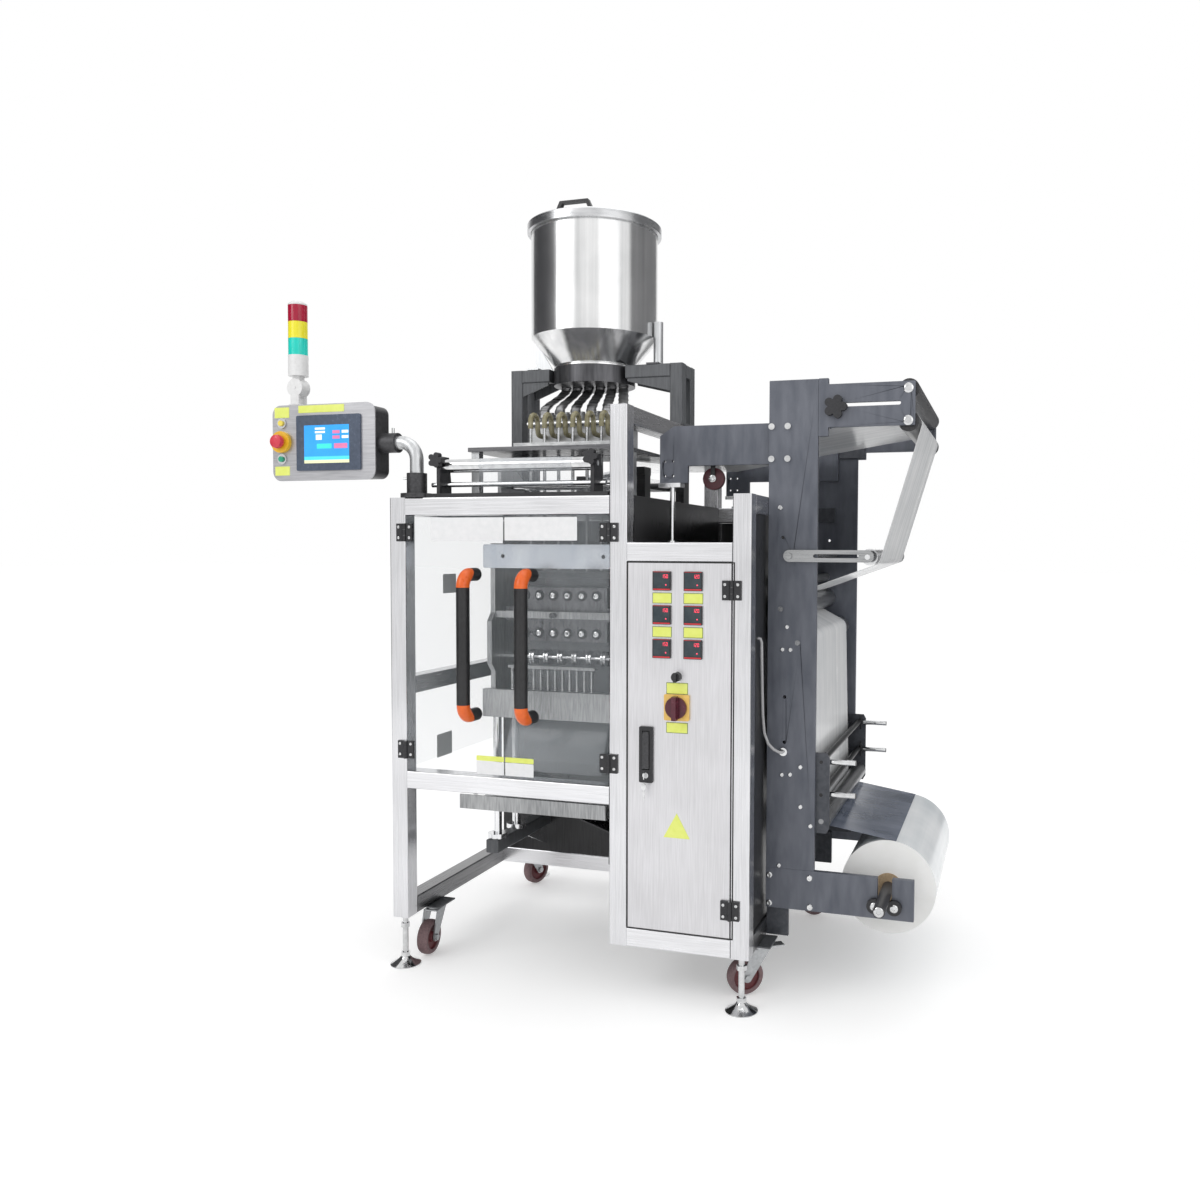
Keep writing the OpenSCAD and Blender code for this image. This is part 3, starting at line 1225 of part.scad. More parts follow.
// Tie bars, lap plates, cradle rollers, splice tables, turning bars and what stands on the frame
module rack_bars() place() {
  lap = front_in + plate_gap;
  lap_r = rear_in - plate_gap;
  color("dimgray") {
    // Lap plates behind the joints of the uprights with both arms
    for (y = [lap, lap_r - 12]) {
      block([upright_x0 + 8, y, upright_low - 80], [upright_x1 - 8, y + 12, upright_low + 90]);
      block([upright_x1 - 60, y, top_arm_z[0] - 18], [upright_x1 + 24, y + 12, top_arm_z[1] + 10]);
    }
    // Angle blocks between the frame and the uprights
    for (z = [post_base + 2, top_rail_z + 2], y = [lap, lap_r - 12])
      block([frame_w + joint_gap, y, z], [upright_x0 + 60, y + 12, z + 46 + (z < 300 ? 60 : 0)]);
  }
  // Tie bars between the front and the rear plates
  color("gray") for (p = [[upright_x0 + 90, 700], [upright_x0 + 30, 1110], [upright_x0 + 30, 1600], [beam_x0 + 60, 1510]])
    along_y([p[0], front_in + plate_gap + (p[0] < upright_x0 ? plate_t + plate_gap : 0), p[1]], 26,
      rear_in - front_in - 2 * plate_gap - (p[0] < upright_x0 ? 2 * (plate_t + plate_gap) : 0));
  // Cradle rollers that the shaft turns on
  for (y = [rack_front - 13, rack_rear + joint_gap], s = [-1, 1])
    color("silver") translate([roll_x + s * cradle_dx, y, roll_z - sqrt(pow(shaft_d / 2 + bracket_r + 0.3, 2) - cradle_dx * cradle_dx)])
      rotate([-90, 0, 0]) cylinder(r = bracket_r, h = 13 - joint_gap);
  // Splice tables behind the film, and the plates that carry them, the clamps and the lowest roller
  color("dimgray") {
    for (z = CLAMPS_Z) block([splice_x - 24, front_in + 2 * plate_gap + splice_t, z - 15],
      [splice_x, rear_in - 2 * plate_gap - splice_t, z + 15]);
    for (y = [lap, lap_r - splice_t]) in_xz(y, y + splice_t) difference() {
      polygon([[upright_x1 - 60, 436], [guide_roller_at[0] + 14, 436], [guide_roller_at[0] + 22, 450],
        [guide_roller_at[0] + 22, 640], [guide_roller_at[0] + 14, 654], [upright_x1 - 60, 654]]);
      roller_bore(guide_roller_at);
      for (z = CLAMPS_Z) roller_bore([clamp_pivot_x, z + 16], clamp_pin_d);
    }
  }
  // Steel rod that leads the film in level under the beams
  color("silver") along_y([under_rod_at[0], lap + plate_t + plate_gap, under_rod_at[1]], fold_d,
    lap_r - lap - 2 * (plate_t + plate_gap));
  // Jack screws that carry the beams, on the cabinet's top in front and on the back rail behind
  color("silver") for (c = [[lap + plate_t / 2, cabinet_rail_z + tube], [lap_r - plate_t / 2, frame_h]]) {
    low = c[1] + joint_gap;
    block([beam_x0, c[0] - 20, beam_z0 - 59], [beam_x0 + 64, c[0] + 20, beam_z0 - 47 - joint_gap]);
    along_z([beam_x0 + 35, c[0], low], 14, beam_z0 - 58 - low);
    along_z([beam_x0 + 35, c[0], low], 36, 6);
  }
  // Star knob in the slot of the front top arm, and bolt heads on the uprights
  color("black") star_knob([upright_x1 + 47, rack_front - 0.4, 1574], 62);
  color("silver") for (x = [8, 52], z = [1442, 1528]) translate([upright_x0 + x, rack_front - joint_gap, z])
    rotate([90, 0, 0]) cylinder(d = 17, h = 6);
  // Sensor gland
  color("silver") translate([1101, rack_front - joint_gap, 656]) rotate([90, 0, 0]) cylinder(d = 22, h = 13);
}

// Rollers

module guide(p, d, y0 = front_in + 2, y1 = rear_in - 2, j0 = rack_front, j1 = rack_rear)
  translate([p[0], 0, p[1]]) rotate([-90, 0, 0]) {
    translate([0, 0, y0]) cylinder(d = d, h = y1 - y0);
    translate([0, 0, j0]) cylinder(d = journal_d, h = j1 - j0);
  }

module guide_roller() place() color("dimgray")
  guide(guide_roller_at, roller_d - 8, front_in + 10, rear_in - 10, front_in + plate_gap, rear_in - plate_gap);

module feed_roller_lower() place() color("dimgray") guide(feed_lower_at, roller_d);

module feed_roller_upper() place() color("dimgray") guide(feed_upper_at, roller_d);

module top_roller() place() color("silver") guide(top_roller_at, roller_d - 2);

module exit_roller() place() color("silver") guide(exit_roller_at, roller_d - 2);

arm_y = [rack_front - 12, rack_rear + 2];
arm_t = 10;
pivot_d = 16;

// Two slotted arms on one pivot shaft, which carry the dancer roller between the plates
module slotted_arms() place() {
  color("silver") {
    for (y = arm_y) difference() {
      in_xz(y, y + arm_t) difference() {
        union() {
          translate([arm_pivot[0], arm_pivot[1] - 16]) square([arm_roller_at[0] - arm_pivot[0], 32]);
          for (p = [arm_pivot, [arm_roller_at[0], arm_pivot[1]]]) translate(p) circle(d = 32);
        }
        translate([arm_pivot[0] + 70, arm_pivot[1] - 5]) square([110, 10]);
        for (x = [70, 180]) translate([arm_pivot[0] + x, arm_pivot[1]]) circle(d = 10);
        translate(arm_roller_at) circle(d = journal_d + 2 * run_gap);
        translate(arm_pivot) circle(d = pivot_d + 2 * joint_gap);
      }
    }
    along_y([arm_pivot[0], arm_y[0] - 6, arm_pivot[1]], pivot_d, arm_y[1] - arm_y[0] + arm_t + 12);
  }
}

module arm_roller() place() color("silver")
  guide(arm_roller_at, arm_roller_d, rack_front + 30, rack_rear - 30, arm_y[0], arm_y[1] + arm_t);

// Clamp bar of a splice table: it swings away from the film on end pins, by a lever at each end
module clamp_bar(z) place() color("silver") {
  y0 = front_in + plate_gap + splice_t + 1;
  y1 = rear_in - plate_gap - splice_t - 1;
  in_xz(y0, y1) {
    polygon([[splice_x + 8, z - 13], [splice_x + 13, z - 13], [clamp_pivot_x, z + 9],
      [clamp_pivot_x, z + 23], [clamp_pivot_x - 8, z + 20], [splice_x + 8, z + 2]]);
    translate([clamp_pivot_x, z + 16]) circle(8);
  }
  along_y([clamp_pivot_x, front_in + plate_gap, z + 16], clamp_pin_d, rear_in - front_in - 2 * plate_gap);
  for (y = [y0 + 8, y1 - 8]) {
    along_x([clamp_pivot_x, y, z + 16], 9, 88);
    along_x([clamp_pivot_x + 78, y, z + 16], 14, 14);
  }
}

module upper_clamp() clamp_bar(CLAMPS_Z[0]);

module lower_clamp() clamp_bar(CLAMPS_Z[1]);

film_y0 = fold_y - film_w / 2;

// Roll on its cardboard core and shaft, with grips at both ends
module film_roll() place() {
  color("whitesmoke") translate([roll_x, film_y0, roll_z]) rotate([-90, 0, 0]) difference() {
    cylinder(r = roll_r, h = film_w, $fn = 96);
    translate([0, 0, -1]) cylinder(d = 76, h = film_w + 2);
  }
  color("tan") translate([roll_x, film_y0 - 4, roll_z]) rotate([-90, 0, 0]) difference() {
    cylinder(d = 76 - 2 * joint_gap, h = film_w + 8);
    translate([0, 0, -1]) cylinder(d = shaft_d + 2 * joint_gap, h = film_w + 12);
  }
  color("dimgray") along_y([roll_x, 60, roll_z], shaft_d, rear_reach - 60);
}

// Film

// Direction of the run that leaves circle a for circle b; each circle is [x, z, radius, side]
function run_angle(a, b) = atan2(b[1] - a[1], b[0] - a[0])
  - asin((b[3] * mid_r(b) - a[3] * mid_r(a)) / norm([b[0] - a[0], b[1] - a[1]]));
function mid_r(c) = c[2] == 0 ? 0 : c[2] + film_gap + film_t / 2;
// Point of circle c where the film runs at this angle, moved by an offset to the left
function touch(c, angle, offset) = [c[0] + sin(angle) * (c[3] * mid_r(c) - offset),
  c[1] - cos(angle) * (c[3] * mid_r(c) - offset)];
// Angles at which the film lies on circle i, every 12 degrees or less
function turn(a0, a1, s) = s > 0 ? (a1 - a0 + 720) % 360 : -((a0 - a1 + 720) % 360);
function wrap(c, i) = let (last = len(c) - 1,
  a0 = i == 0 ? run_angle(c[0], c[1]) : run_angle(c[i - 1], c[i]),
  a1 = i == last ? a0 : run_angle(c[i], c[i + 1]),
  sweep = c[i][2] == 0 ? 0 : turn(a0, a1, c[i][3]), n = max(1, ceil(abs(sweep) / 12)))
  [for (k = [0:n]) a0 + sweep * k / n];
function edge(c, offset) = [for (i = [0:len(c) - 1]) each [for (a = wrap(c, i)) touch(c[i], a, offset)]];
function backwards(p) = [for (i = [len(p) - 1:-1:0]) p[i]];

module film_outline(c) polygon(concat(edge(c, film_t / 2), backwards(edge(c, -film_t / 2))));

// Circles that the film runs round between the roll and the turning bars
RACK_RUN = [[roll_x, roll_z, roll_r, 1], [guide_roller_at[0], guide_roller_at[1], (roller_d - 8) / 2, -1],
  [feed_lower_at[0], feed_lower_at[1], roller_d / 2, 1], [feed_upper_at[0], feed_upper_at[1], roller_d / 2, -1],
  [arm_roller_at[0], arm_roller_at[1], arm_roller_d / 2, 1],
  [exit_roller_at[0], exit_roller_at[1], (roller_d - 2) / 2, 1],
  [under_rod_at[0], under_rod_at[1], fold_d / 2, -1], [fold_x + film_gap, web_z, 0, 1]];
under_z = fold_z - fold_d / 2 - film_gap - film_t / 2;
strip_low = 560;
// The slit halves between the turning bars and the end of the sealed strip
FRONT_RUN = [[110, front_roller_z + front_roller_d / 2 + film_gap + film_t / 2, 0, 1], [roller_y, front_roller_z, front_roller_d / 2, 1],
  [roller_y, tie_rod_z, 7, 1], [seal_y - entry_half, entry_z, entry_d / 2, -1],
  [seal_y - pull_y, pull_z, pull_d / 2, -1], [seal_y - film_t, strip_low, 0, -1]];
REAR_RUN = [[fold_y + web_w + film_gap, under_z, 0, -1], [rear_rod_y, rear_rod_z, fold_d / 2, -1],
  [seal_y + entry_half, entry_z, entry_d / 2, 1],
  [seal_y + pull_y, pull_z, pull_d / 2, 1], [seal_y + film_t, strip_low, 0, 1]];

// Rear half of the slit film folded over its turning bar: two triangles joined by a half round
module film_fold() {
  r = fold_d / 2 + film_gap;
  half = web_w / sqrt(2);
  translate([fold_x, fold_y, fold_z]) mirror([0, 1, 0]) rotate(45) intersection() {
    in_yz(-2 * half, 0) difference() {
      union() {
        circle(r + film_t);
        translate([-2 * half, -r - film_t]) square([2 * half, 2 * (r + film_t)]);
      }
      circle(r);
      translate([-2 * half - 1, -r]) square([2 * half + 1, 2 * r]);
    }
    translate([0, 0, -50]) linear_extrude(100)
      polygon([[-2 * half, 30], [0, 30], [0, 0], [-half, -half], [-2 * half, 0]]);
  }
}

module film_web() place() color("aliceblue") {
  in_xz(film_y0, film_y0 + film_w) film_outline(RACK_RUN);
  film_fold();
  for (run = [FRONT_RUN, REAR_RUN]) in_yz(hopper_x - web_w / 2, hopper_x + web_w / 2) film_outline(run);
}

frame_posts();
frame_rails();
side_windows();
cabinet_panels();
hopper_stand();
hopper();
hopper_lid();
hoses_and_cables();
pump_block();
pump_bar();
deck_plates();
front_roller();
seal_frame();
vertical_jaw_front();
vertical_jaw_rear();
pull_wheels_front();
pull_wheels_rear();
cross_jaw();
packet_chute();
discharge_tray();
drive_unit();
frame_fittings();
leveling_feet();
left_door_panel();
left_door_handle();
right_door_panel();
right_door_handle();
cabinet_door();
door_instruments();
lock_handle();
main_switch_knob();
selector_knob();
panel_arm();
operator_panel();
touch_screen();
estop_button();
yellow_button();
green_button();
beacon();
rack_plates();
rack_bars();
film_roll();
film_web();
slotted_arms();
arm_roller();
guide_roller();
feed_roller_lower();
feed_roller_upper();
top_roller();
exit_roller();
upper_clamp();
lower_clamp();
caster_front_left();
wheel_front_left();
caster_front_right();
wheel_front_right();
caster_rear_left();
wheel_rear_left();
caster_rear_right();
wheel_rear_right();
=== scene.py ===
import math

import bmesh
import bpy
from mathutils import Matrix, Vector


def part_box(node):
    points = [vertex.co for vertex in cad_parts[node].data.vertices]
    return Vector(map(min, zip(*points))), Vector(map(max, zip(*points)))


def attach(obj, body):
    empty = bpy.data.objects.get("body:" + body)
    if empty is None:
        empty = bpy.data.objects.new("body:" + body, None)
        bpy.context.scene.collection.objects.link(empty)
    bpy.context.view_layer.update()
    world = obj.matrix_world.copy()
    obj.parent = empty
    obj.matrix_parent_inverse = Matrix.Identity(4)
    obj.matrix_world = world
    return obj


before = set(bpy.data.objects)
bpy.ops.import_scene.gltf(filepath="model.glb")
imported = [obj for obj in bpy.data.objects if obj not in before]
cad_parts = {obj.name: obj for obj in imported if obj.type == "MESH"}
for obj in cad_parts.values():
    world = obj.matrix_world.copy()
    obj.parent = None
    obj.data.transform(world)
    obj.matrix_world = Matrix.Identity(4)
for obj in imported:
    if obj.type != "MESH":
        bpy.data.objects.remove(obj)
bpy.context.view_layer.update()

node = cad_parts


# Camera: the photograph is taken from the front and the right, at chest height, with the
# lens tipped down a little and its frame moved slightly sideways.
middle = (560.5, 435.0, 0)


def at(x, y, z):
    """A point given in millimetres from the frame's left face, its front face and the floor."""
    return Vector(((x - middle[0]) / 1000, (y - middle[1]) / 1000, (z - middle[2]) / 1000))


def measured(point):
    """The distances of a point of the scene from the same three faces, in millimetres."""
    return [c * 1000 + m for c, m in zip(point, middle)]


turned, pitched, rolled = math.radians(17.0136), math.radians(2.443), math.radians(0.2766)
flat = math.cos(pitched)
forward = Vector((-math.sin(turned) * flat, math.cos(turned) * flat, -math.sin(pitched)))
level = Vector((math.cos(turned), math.sin(turned), 0))
upward = level.cross(forward)
right = level * math.cos(rolled) + upward * math.sin(rolled)
upward = upward * math.cos(rolled) - level * math.sin(rolled)
lens = bpy.data.cameras.new("camera")
lens.lens, lens.sensor_width = 30.5, 36
lens.shift_x, lens.shift_y = -0.0865, -0.0045
lens.dof.use_dof = False
camera = bpy.data.objects.new("camera", lens)
bpy.context.scene.collection.objects.link(camera)
axes = Matrix((right, upward, -forward)).transposed().to_4x4()
eye = at(1689.6, -2488.9, 1194.4)
camera.matrix_world = Matrix.Translation(eye) @ axes
bpy.context.scene.camera = camera


# Corner and middle posts: square stainless tube, brushed lengthwise, with rounded corners.
# Their lower ends take the feet's screws, and the rails are welded between them.
def finish(name, dark, light, metal=0.0, rough=(0.3, 0.45), grain=(1, 1, 1), scale=60, bump=0.1, **fixed):
    """Object-space grain and cloudiness that vary the colour, the roughness and a fine relief."""
    made = bpy.data.materials.new(name)
    made.use_nodes = True
    tree = made.node_tree
    shader = tree.nodes["Principled BSDF"]
    shader.inputs["Metallic"].default_value = metal
    for socket, value in fixed.items():
        shader.inputs[socket.replace("_", " ")].default_value = value
    fine_share = 0.6
    place = tree.nodes.new("ShaderNodeTexCoord")
    stretch = tree.nodes.new("ShaderNodeMapping")
    stretch.inputs["Scale"].default_value = grain
    fine = tree.nodes.new("ShaderNodeTexNoise")
    fine.inputs["Scale"].default_value = scale
    fine.inputs["Detail"].default_value = 6
    cloud = tree.nodes.new("ShaderNodeTexNoise")
    cloud.inputs["Scale"].default_value = 5
    cloud.inputs["Detail"].default_value = 3
    both = tree.nodes.new("ShaderNodeMath")
    both.operation = "MULTIPLY_ADD"
    both.inputs[1].default_value = fine_share
    part = tree.nodes.new("ShaderNodeMath")
    part.operation = "MULTIPLY"
    part.inputs[1].default_value = 1 - fine_share
    ramp = tree.nodes.new("ShaderNodeValToRGB")
    ramp.color_ramp.elements[0].position = 0.35
    ramp.color_ramp.elements[0].color = (*dark, 1)
    ramp.color_ramp.elements[1].position = 0.65
    ramp.color_ramp.elements[1].color = (*light, 1)
    spread = tree.nodes.new("ShaderNodeMapRange")
    spread.inputs["From Min"].default_value = 0.3
    spread.inputs["From Max"].default_value = 0.7
    spread.inputs["To Min"].default_value = rough[0]
    spread.inputs["To Max"].default_value = rough[1]
    relief = tree.nodes.new("ShaderNodeBump")
    relief.inputs["Strength"].default_value = bump
    relief.inputs["Distance"].default_value = 0.0006
    join = tree.links.new
    join(place.outputs["Object"], stretch.inputs["Vector"])
    join(stretch.outputs["Vector"], fine.inputs["Vector"])
    join(place.outputs["Object"], cloud.inputs["Vector"])
    join(cloud.outputs["Fac"], part.inputs[0])
    join(fine.outputs["Fac"], both.inputs[0])
    join(part.outputs["Value"], both.inputs[2])
    join(both.outputs["Value"], ramp.inputs["Fac"])
    join(ramp.outputs["Color"], shader.inputs["Base Color"])
    join(both.outputs["Value"], spread.inputs["Value"])
    join(spread.outputs["Result"], shader.inputs["Roughness"])
    join(fine.outputs["Fac"], relief.inputs["Height"])
    join(relief.outputs["Normal"], shader.inputs["Normal"])
    return made


def solids(name):
    """The separate solids of a node: their faces, and their lowest and highest corners in millimetres."""
    mesh = node[name].data
    first, home = {}, []
    for v in mesh.vertices:
        key = tuple(round(c, 6) for c in v.co)
        home.append(first.setdefault(key, v.index))
    root = list(range(len(home)))

    def top(i):
        while root[i] != i:
            root[i] = root[root[i]]
            i = root[i]
        return i

    for p in mesh.polygons:
        a = top(home[p.vertices[0]])
        for v in p.vertices[1:]:
            root[top(home[v])] = a
    groups = {}
    for p in mesh.polygons:
        groups.setdefault(top(home[p.vertices[0]]), []).append(p.index)
    found = []
    for faces in groups.values():
        points = [mesh.vertices[v].co for f in faces for v in mesh.polygons[f].vertices]
        low = measured(min(q[i] for q in points) for i in range(3))
        high = measured(max(q[i] for q in points) for i in range(3))
        found.append((faces, low, high))
    return found


def soften(piece, bevel):
    """Rounds the sharp edges of a piece and keeps its smooth shading off them."""
    rounded_from, split_from = math.radians(40), math.radians(35)
    if bevel:
        edge = piece.modifiers.new("edge", "BEVEL")
        edge.width = bevel
        edge.segments = 2
        edge.limit_method = "ANGLE"
        edge.angle_limit = rounded_from
        edge.harden_normals = False
    split = piece.modifiers.new("split", "EDGE_SPLIT")
    split.split_angle = split_from


def dress(name, usual, *others, bevel=0.0008):
    """Gives a node its finish; others are (finish, test of a solid's low and high corner) pairs."""
    mesh = node[name].data
    mesh.materials.clear()
    for made in [usual] + [other[0] for other in others]:
        mesh.materials.append(made)
    for p in mesh.polygons:
        p.material_index = 0
        p.use_smooth = True
    if others:
        for faces, low, high in solids(name):
            for i, (made, test) in enumerate(others):
                if test(low, high):
                    for f in faces:
                        mesh.polygons[f].material_index = i + 1
                    break
    if "custom_normal" in mesh.attributes:
        mesh.attributes.remove(mesh.attributes["custom_normal"])
    weld = node[name].modifiers.new("weld", "WELD")
    weld.merge_threshold = 0.00001
    soften(node[name], bevel)
    if bevel:
        even = node[name].modifiers.new("level", "WEIGHTED_NORMAL")
        even.mode = "FACE_AREA"
        even.weight = 100


brushed_upright = finish("brushed_upright", (0.60, 0.60, 0.615), (0.76, 0.76, 0.78),
                         1.0, (0.20, 0.30), (1, 1, 0.02), 420, 0.10)
dress("frame_posts", brushed_upright, bevel=0.001)

# Rails: the same tube, cut square and welded between the posts at the top, at the bottom,
# below the clear doors and above the cabinet door, brushed along their length. Those that run
# from front to back carry painted shade in darker copies of the finish, the low ones the darkest.
brushed_across = finish("brushed_across", (0.68, 0.68, 0.695), (0.84, 0.84, 0.86),
                        1.0, (0.20, 0.30), (0.02, 1, 1), 420, 0.10)
# Painted shade: a darker copy of the brushed tube for the rails that run from front to back
brushed_painted_shade = finish("brushed_painted_shade", (0.46, 0.46, 0.47), (0.60, 0.60, 0.61),
                      1.0, (0.20, 0.30), (1, 0.02, 1), 420, 0.10)
# Painted shade: the darkest copy, for the low rails that run from front to back
brushed_painted_deep_shade = finish("brushed_painted_deep_shade", (0.17, 0.17, 0.175), (0.27, 0.27, 0.275),
                     1.0, (0.24, 0.34), (1, 0.02, 1), 420, 0.10)
dress("frame_rails", brushed_across,
      (brushed_painted_deep_shade, lambda a, b: b[1] - a[1] > 400 and b[2] < 400),
      (brushed_painted_shade, lambda a, b: b[1] - a[1] > 400), bevel=0.001)


# Side and back windows: clear acrylic sheet held in the frame's openings.
# Small grey labels, left blank, are stuck on the two side windows.
def clear(name, tint, alpha, rough):
    """Finish of a clear plastic sheet, hardly cloudy."""
    paler = tuple(min(1, c * 1.06) for c in tint)
    made = finish(name, tint, paler, 0.0, rough, (1, 1, 1), 9, 0.25, Alpha=alpha)
    made.node_tree.nodes["Principled BSDF"].inputs["Specular IOR Level"].default_value = 0.6
    return made


acrylic = clear("acrylic", (0.70, 0.76, 0.80), 0.06, (0.02, 0.08))
dress("side_windows", acrylic, bevel=0)


def shape(name, made, body, bm, bevel=0.0):
    """Turns a bmesh into a piece that rides on a body."""
    mesh = bpy.data.meshes.new(name)
    bmesh.ops.recalc_face_normals(bm, faces=bm.faces)
    bm.to_mesh(mesh)
    bm.free()
    mesh.materials.append(made)
    for p in mesh.polygons:
        p.use_smooth = True
    piece = bpy.data.objects.new(name, mesh)
    bpy.context.scene.collection.objects.link(piece)
    soften(piece, bevel)
    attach(piece, body)


def skin(bm, rings):
    """Joins rings of points, equal in number, into a closed body with flat ends."""
    for a, b in zip(rings, rings[1:]):
        for k in range(len(a)):
            j = (k + 1) % len(a)
            bm.faces.new((a[k], a[j], b[j], b[k]))
    bm.faces.new(rings[-1])
    bm.faces.new(list(reversed(rings[0])))


def prism(bm, outline, y0, y1):
    """Adds a prism whose outline is seen from the front, from y0 back to y1."""
    near = [bm.verts.new(at(x, y0, z)) for x, z in outline]
    far = [bm.verts.new(at(x, y1, z)) for x, z in outline]
    skin(bm, (far, near))


def corners(x0, z0, x1, z1, r, n=4):
    """Outline of a rectangle with rounded corners."""
    line = []
    left, right, bottom, top = x0 + r, x1 - r, z0 + r, z1 - r
    for cx, cz, start in ((right, top, 0), (left, top, 90), (left, bottom, 180), (right, bottom, 270)):
        for i in range(n + 1):
            a = math.radians(start + 90 * i / n)
            line.append((cx + r * math.cos(a), cz + r * math.sin(a)))
    return line


def sideways(bm, x):
    """Turns what was drawn in the front plane about the machine's left face, at x."""
    for v in bm.verts:
        across, deep, up = measured(v.co)
        v.co = at(x + deep, across, up)


grey_label = finish("grey_label", (0.48, 0.48, 0.47), (0.60, 0.60, 0.59),
                    0.2, (0.35, 0.5), (1, 1, 1), 90, 0.05)
bm = bmesh.new()
for y0, z0, y1, z1 in ((242, 1062, 317, 1121), (203, 564, 288, 634)):
    prism(bm, corners(y0, z0, y1, z1, 3), 21.6, 22.4)
sideways(bm, 0)
shape("side_window_labels", grey_label, "machine", bm)

# Cabinet panels: satin sheet on the right side, the back, the floor and the top, a divider
# towards the sealing chamber, and that chamber's back plate, all fixed to the frame. Their near
# black, the back plate's included, is partly the sheet's own dark colour and partly painted shade.
# Painted shade: one near-black colour for all the cabinet panels, partly their own dark colour
dark_sheet_painted_shade = finish("dark_sheet_painted_shade", (0.016, 0.016, 0.017), (0.036, 0.036, 0.038),
                    0.3, (0.25, 0.4), (1, 1, 0.05), 240, 0.08)
dress("cabinet_panels", dark_sheet_painted_shade)

# Hopper stand: square steel with mitred corners and tapered gussets, painted mid grey,
# bolted to the deck on the left and to the frame's top beam on the right.
stand_grey = finish("stand_grey", (0.075, 0.08, 0.085), (0.14, 0.145, 0.155),
                    0.25, (0.38, 0.52), (1, 1, 0.1), 160, 0.1)
dress("hopper_stand", stand_grey)

# Hopper: rolled stainless cylinder and cone with a welded seam, brushed upright, its colour in
# coarse upright bands of painted reflection, on a dark outlet collar that the six hoses leave
# from; a sheet and a tube carry it on the stand.
# Painted reflection: coarse upright bands of light and dark in the steel's colour
steel_painted_reflection_bands = finish("steel_painted_reflection_bands", (0.58, 0.585, 0.59), (0.90, 0.90, 0.90),
                      1.0, (0.16, 0.24), (1, 1, 0.012), 34, 0.04)
collar_steel = finish("collar_steel", (0.05, 0.05, 0.055), (0.16, 0.16, 0.17),
                      0.8, (0.3, 0.45), (1, 1, 0.1), 60, 0.1)
pale_steel = finish("pale_steel", (0.52, 0.53, 0.54), (0.68, 0.69, 0.70),
                    0.9, (0.3, 0.45), (1, 1, 0.1), 120, 0.1)
dress("hopper", steel_painted_reflection_bands,
      (collar_steel, lambda a, b: b[2] < 1770),
      (pale_steel, lambda a, b: b[0] - a[0] < 150))

# Hopper lid: a shallow spun dish whose skirt goes over the rim, with a rubber edge inside
# the skirt and a bow handle of bent flat bar.
black_steel = finish("black_steel", (0.012, 0.012, 0.013), (0.035, 0.035, 0.038),
                     0.3, (0.3, 0.45), (1, 1, 1), 120, 0.1)
lid_steel = finish("lid_steel", (0.45, 0.46, 0.47), (0.74, 0.74, 0.75),
                   1.0, (0.22, 0.35), (0.2, 0.2, 1), 60, 0.05)
dress("hopper_lid", lid_steel, (black_steel, lambda a, b: b[0] - a[0] < 200))

# Hoses and cables: corrugated hoses from the hopper to the pump, coloured in dark and light
# rings of painted shade and highlight along their ridges, yellowish clear dosing hoses from the
# pump to the filling tubes, and a grey sensor cable; all are clamped at both ends.
# Painted shade and highlight: dark and light rings across the hose, over a real relief
corrugated = finish("corrugated", (0.05, 0.05, 0.052), (0.58, 0.58, 0.59),
                    0.8, (0.25, 0.4), (0.1, 0.1, 1), 190, 0.5)
dosing = finish("dosing", (0.20, 0.18, 0.10), (0.48, 0.44, 0.28),
                0.0, (0.1, 0.22), (1, 1, 1), 60, 0.1, Alpha=0.85)
grey_cable = finish("grey_cable", (0.42, 0.42, 0.43), (0.52, 0.52, 0.53),
                    0.0, (0.4, 0.55), (1, 1, 1), 200, 0.05)
dress("hoses_and_cables", corrugated, (dosing, lambda a, b: b[2] < 1650 and a[2] > 1400),
      (grey_cable, lambda a, b: a[0] > 1000), bevel=0)

# Pump: a machined block with six piston cylinders behind it, hose spigots on top, and six
# thin stainless filling tubes held in a bar over the sealing unit.
bright_steel = finish("bright_steel", (0.66, 0.67, 0.68), (0.86, 0.86, 0.87),
                      1.0, (0.1, 0.22), (1, 1, 0.2), 90, 0.05)
turned_steel = finish("turned_steel", (0.40, 0.405, 0.41), (0.66, 0.665, 0.67),
                      1.0, (0.14, 0.28), (0.3, 1, 1), 120, 0.08)
milled = finish("milled", (0.34, 0.345, 0.35), (0.52, 0.525, 0.53), 0.9, (0.25, 0.4), (0.05, 1, 1), 300, 0.1)
dress("pump_block", turned_steel, (milled, lambda a, b: b[0] - a[0] > 200 and b[1] - a[1] > 30))
dress("pump_bar", milled)

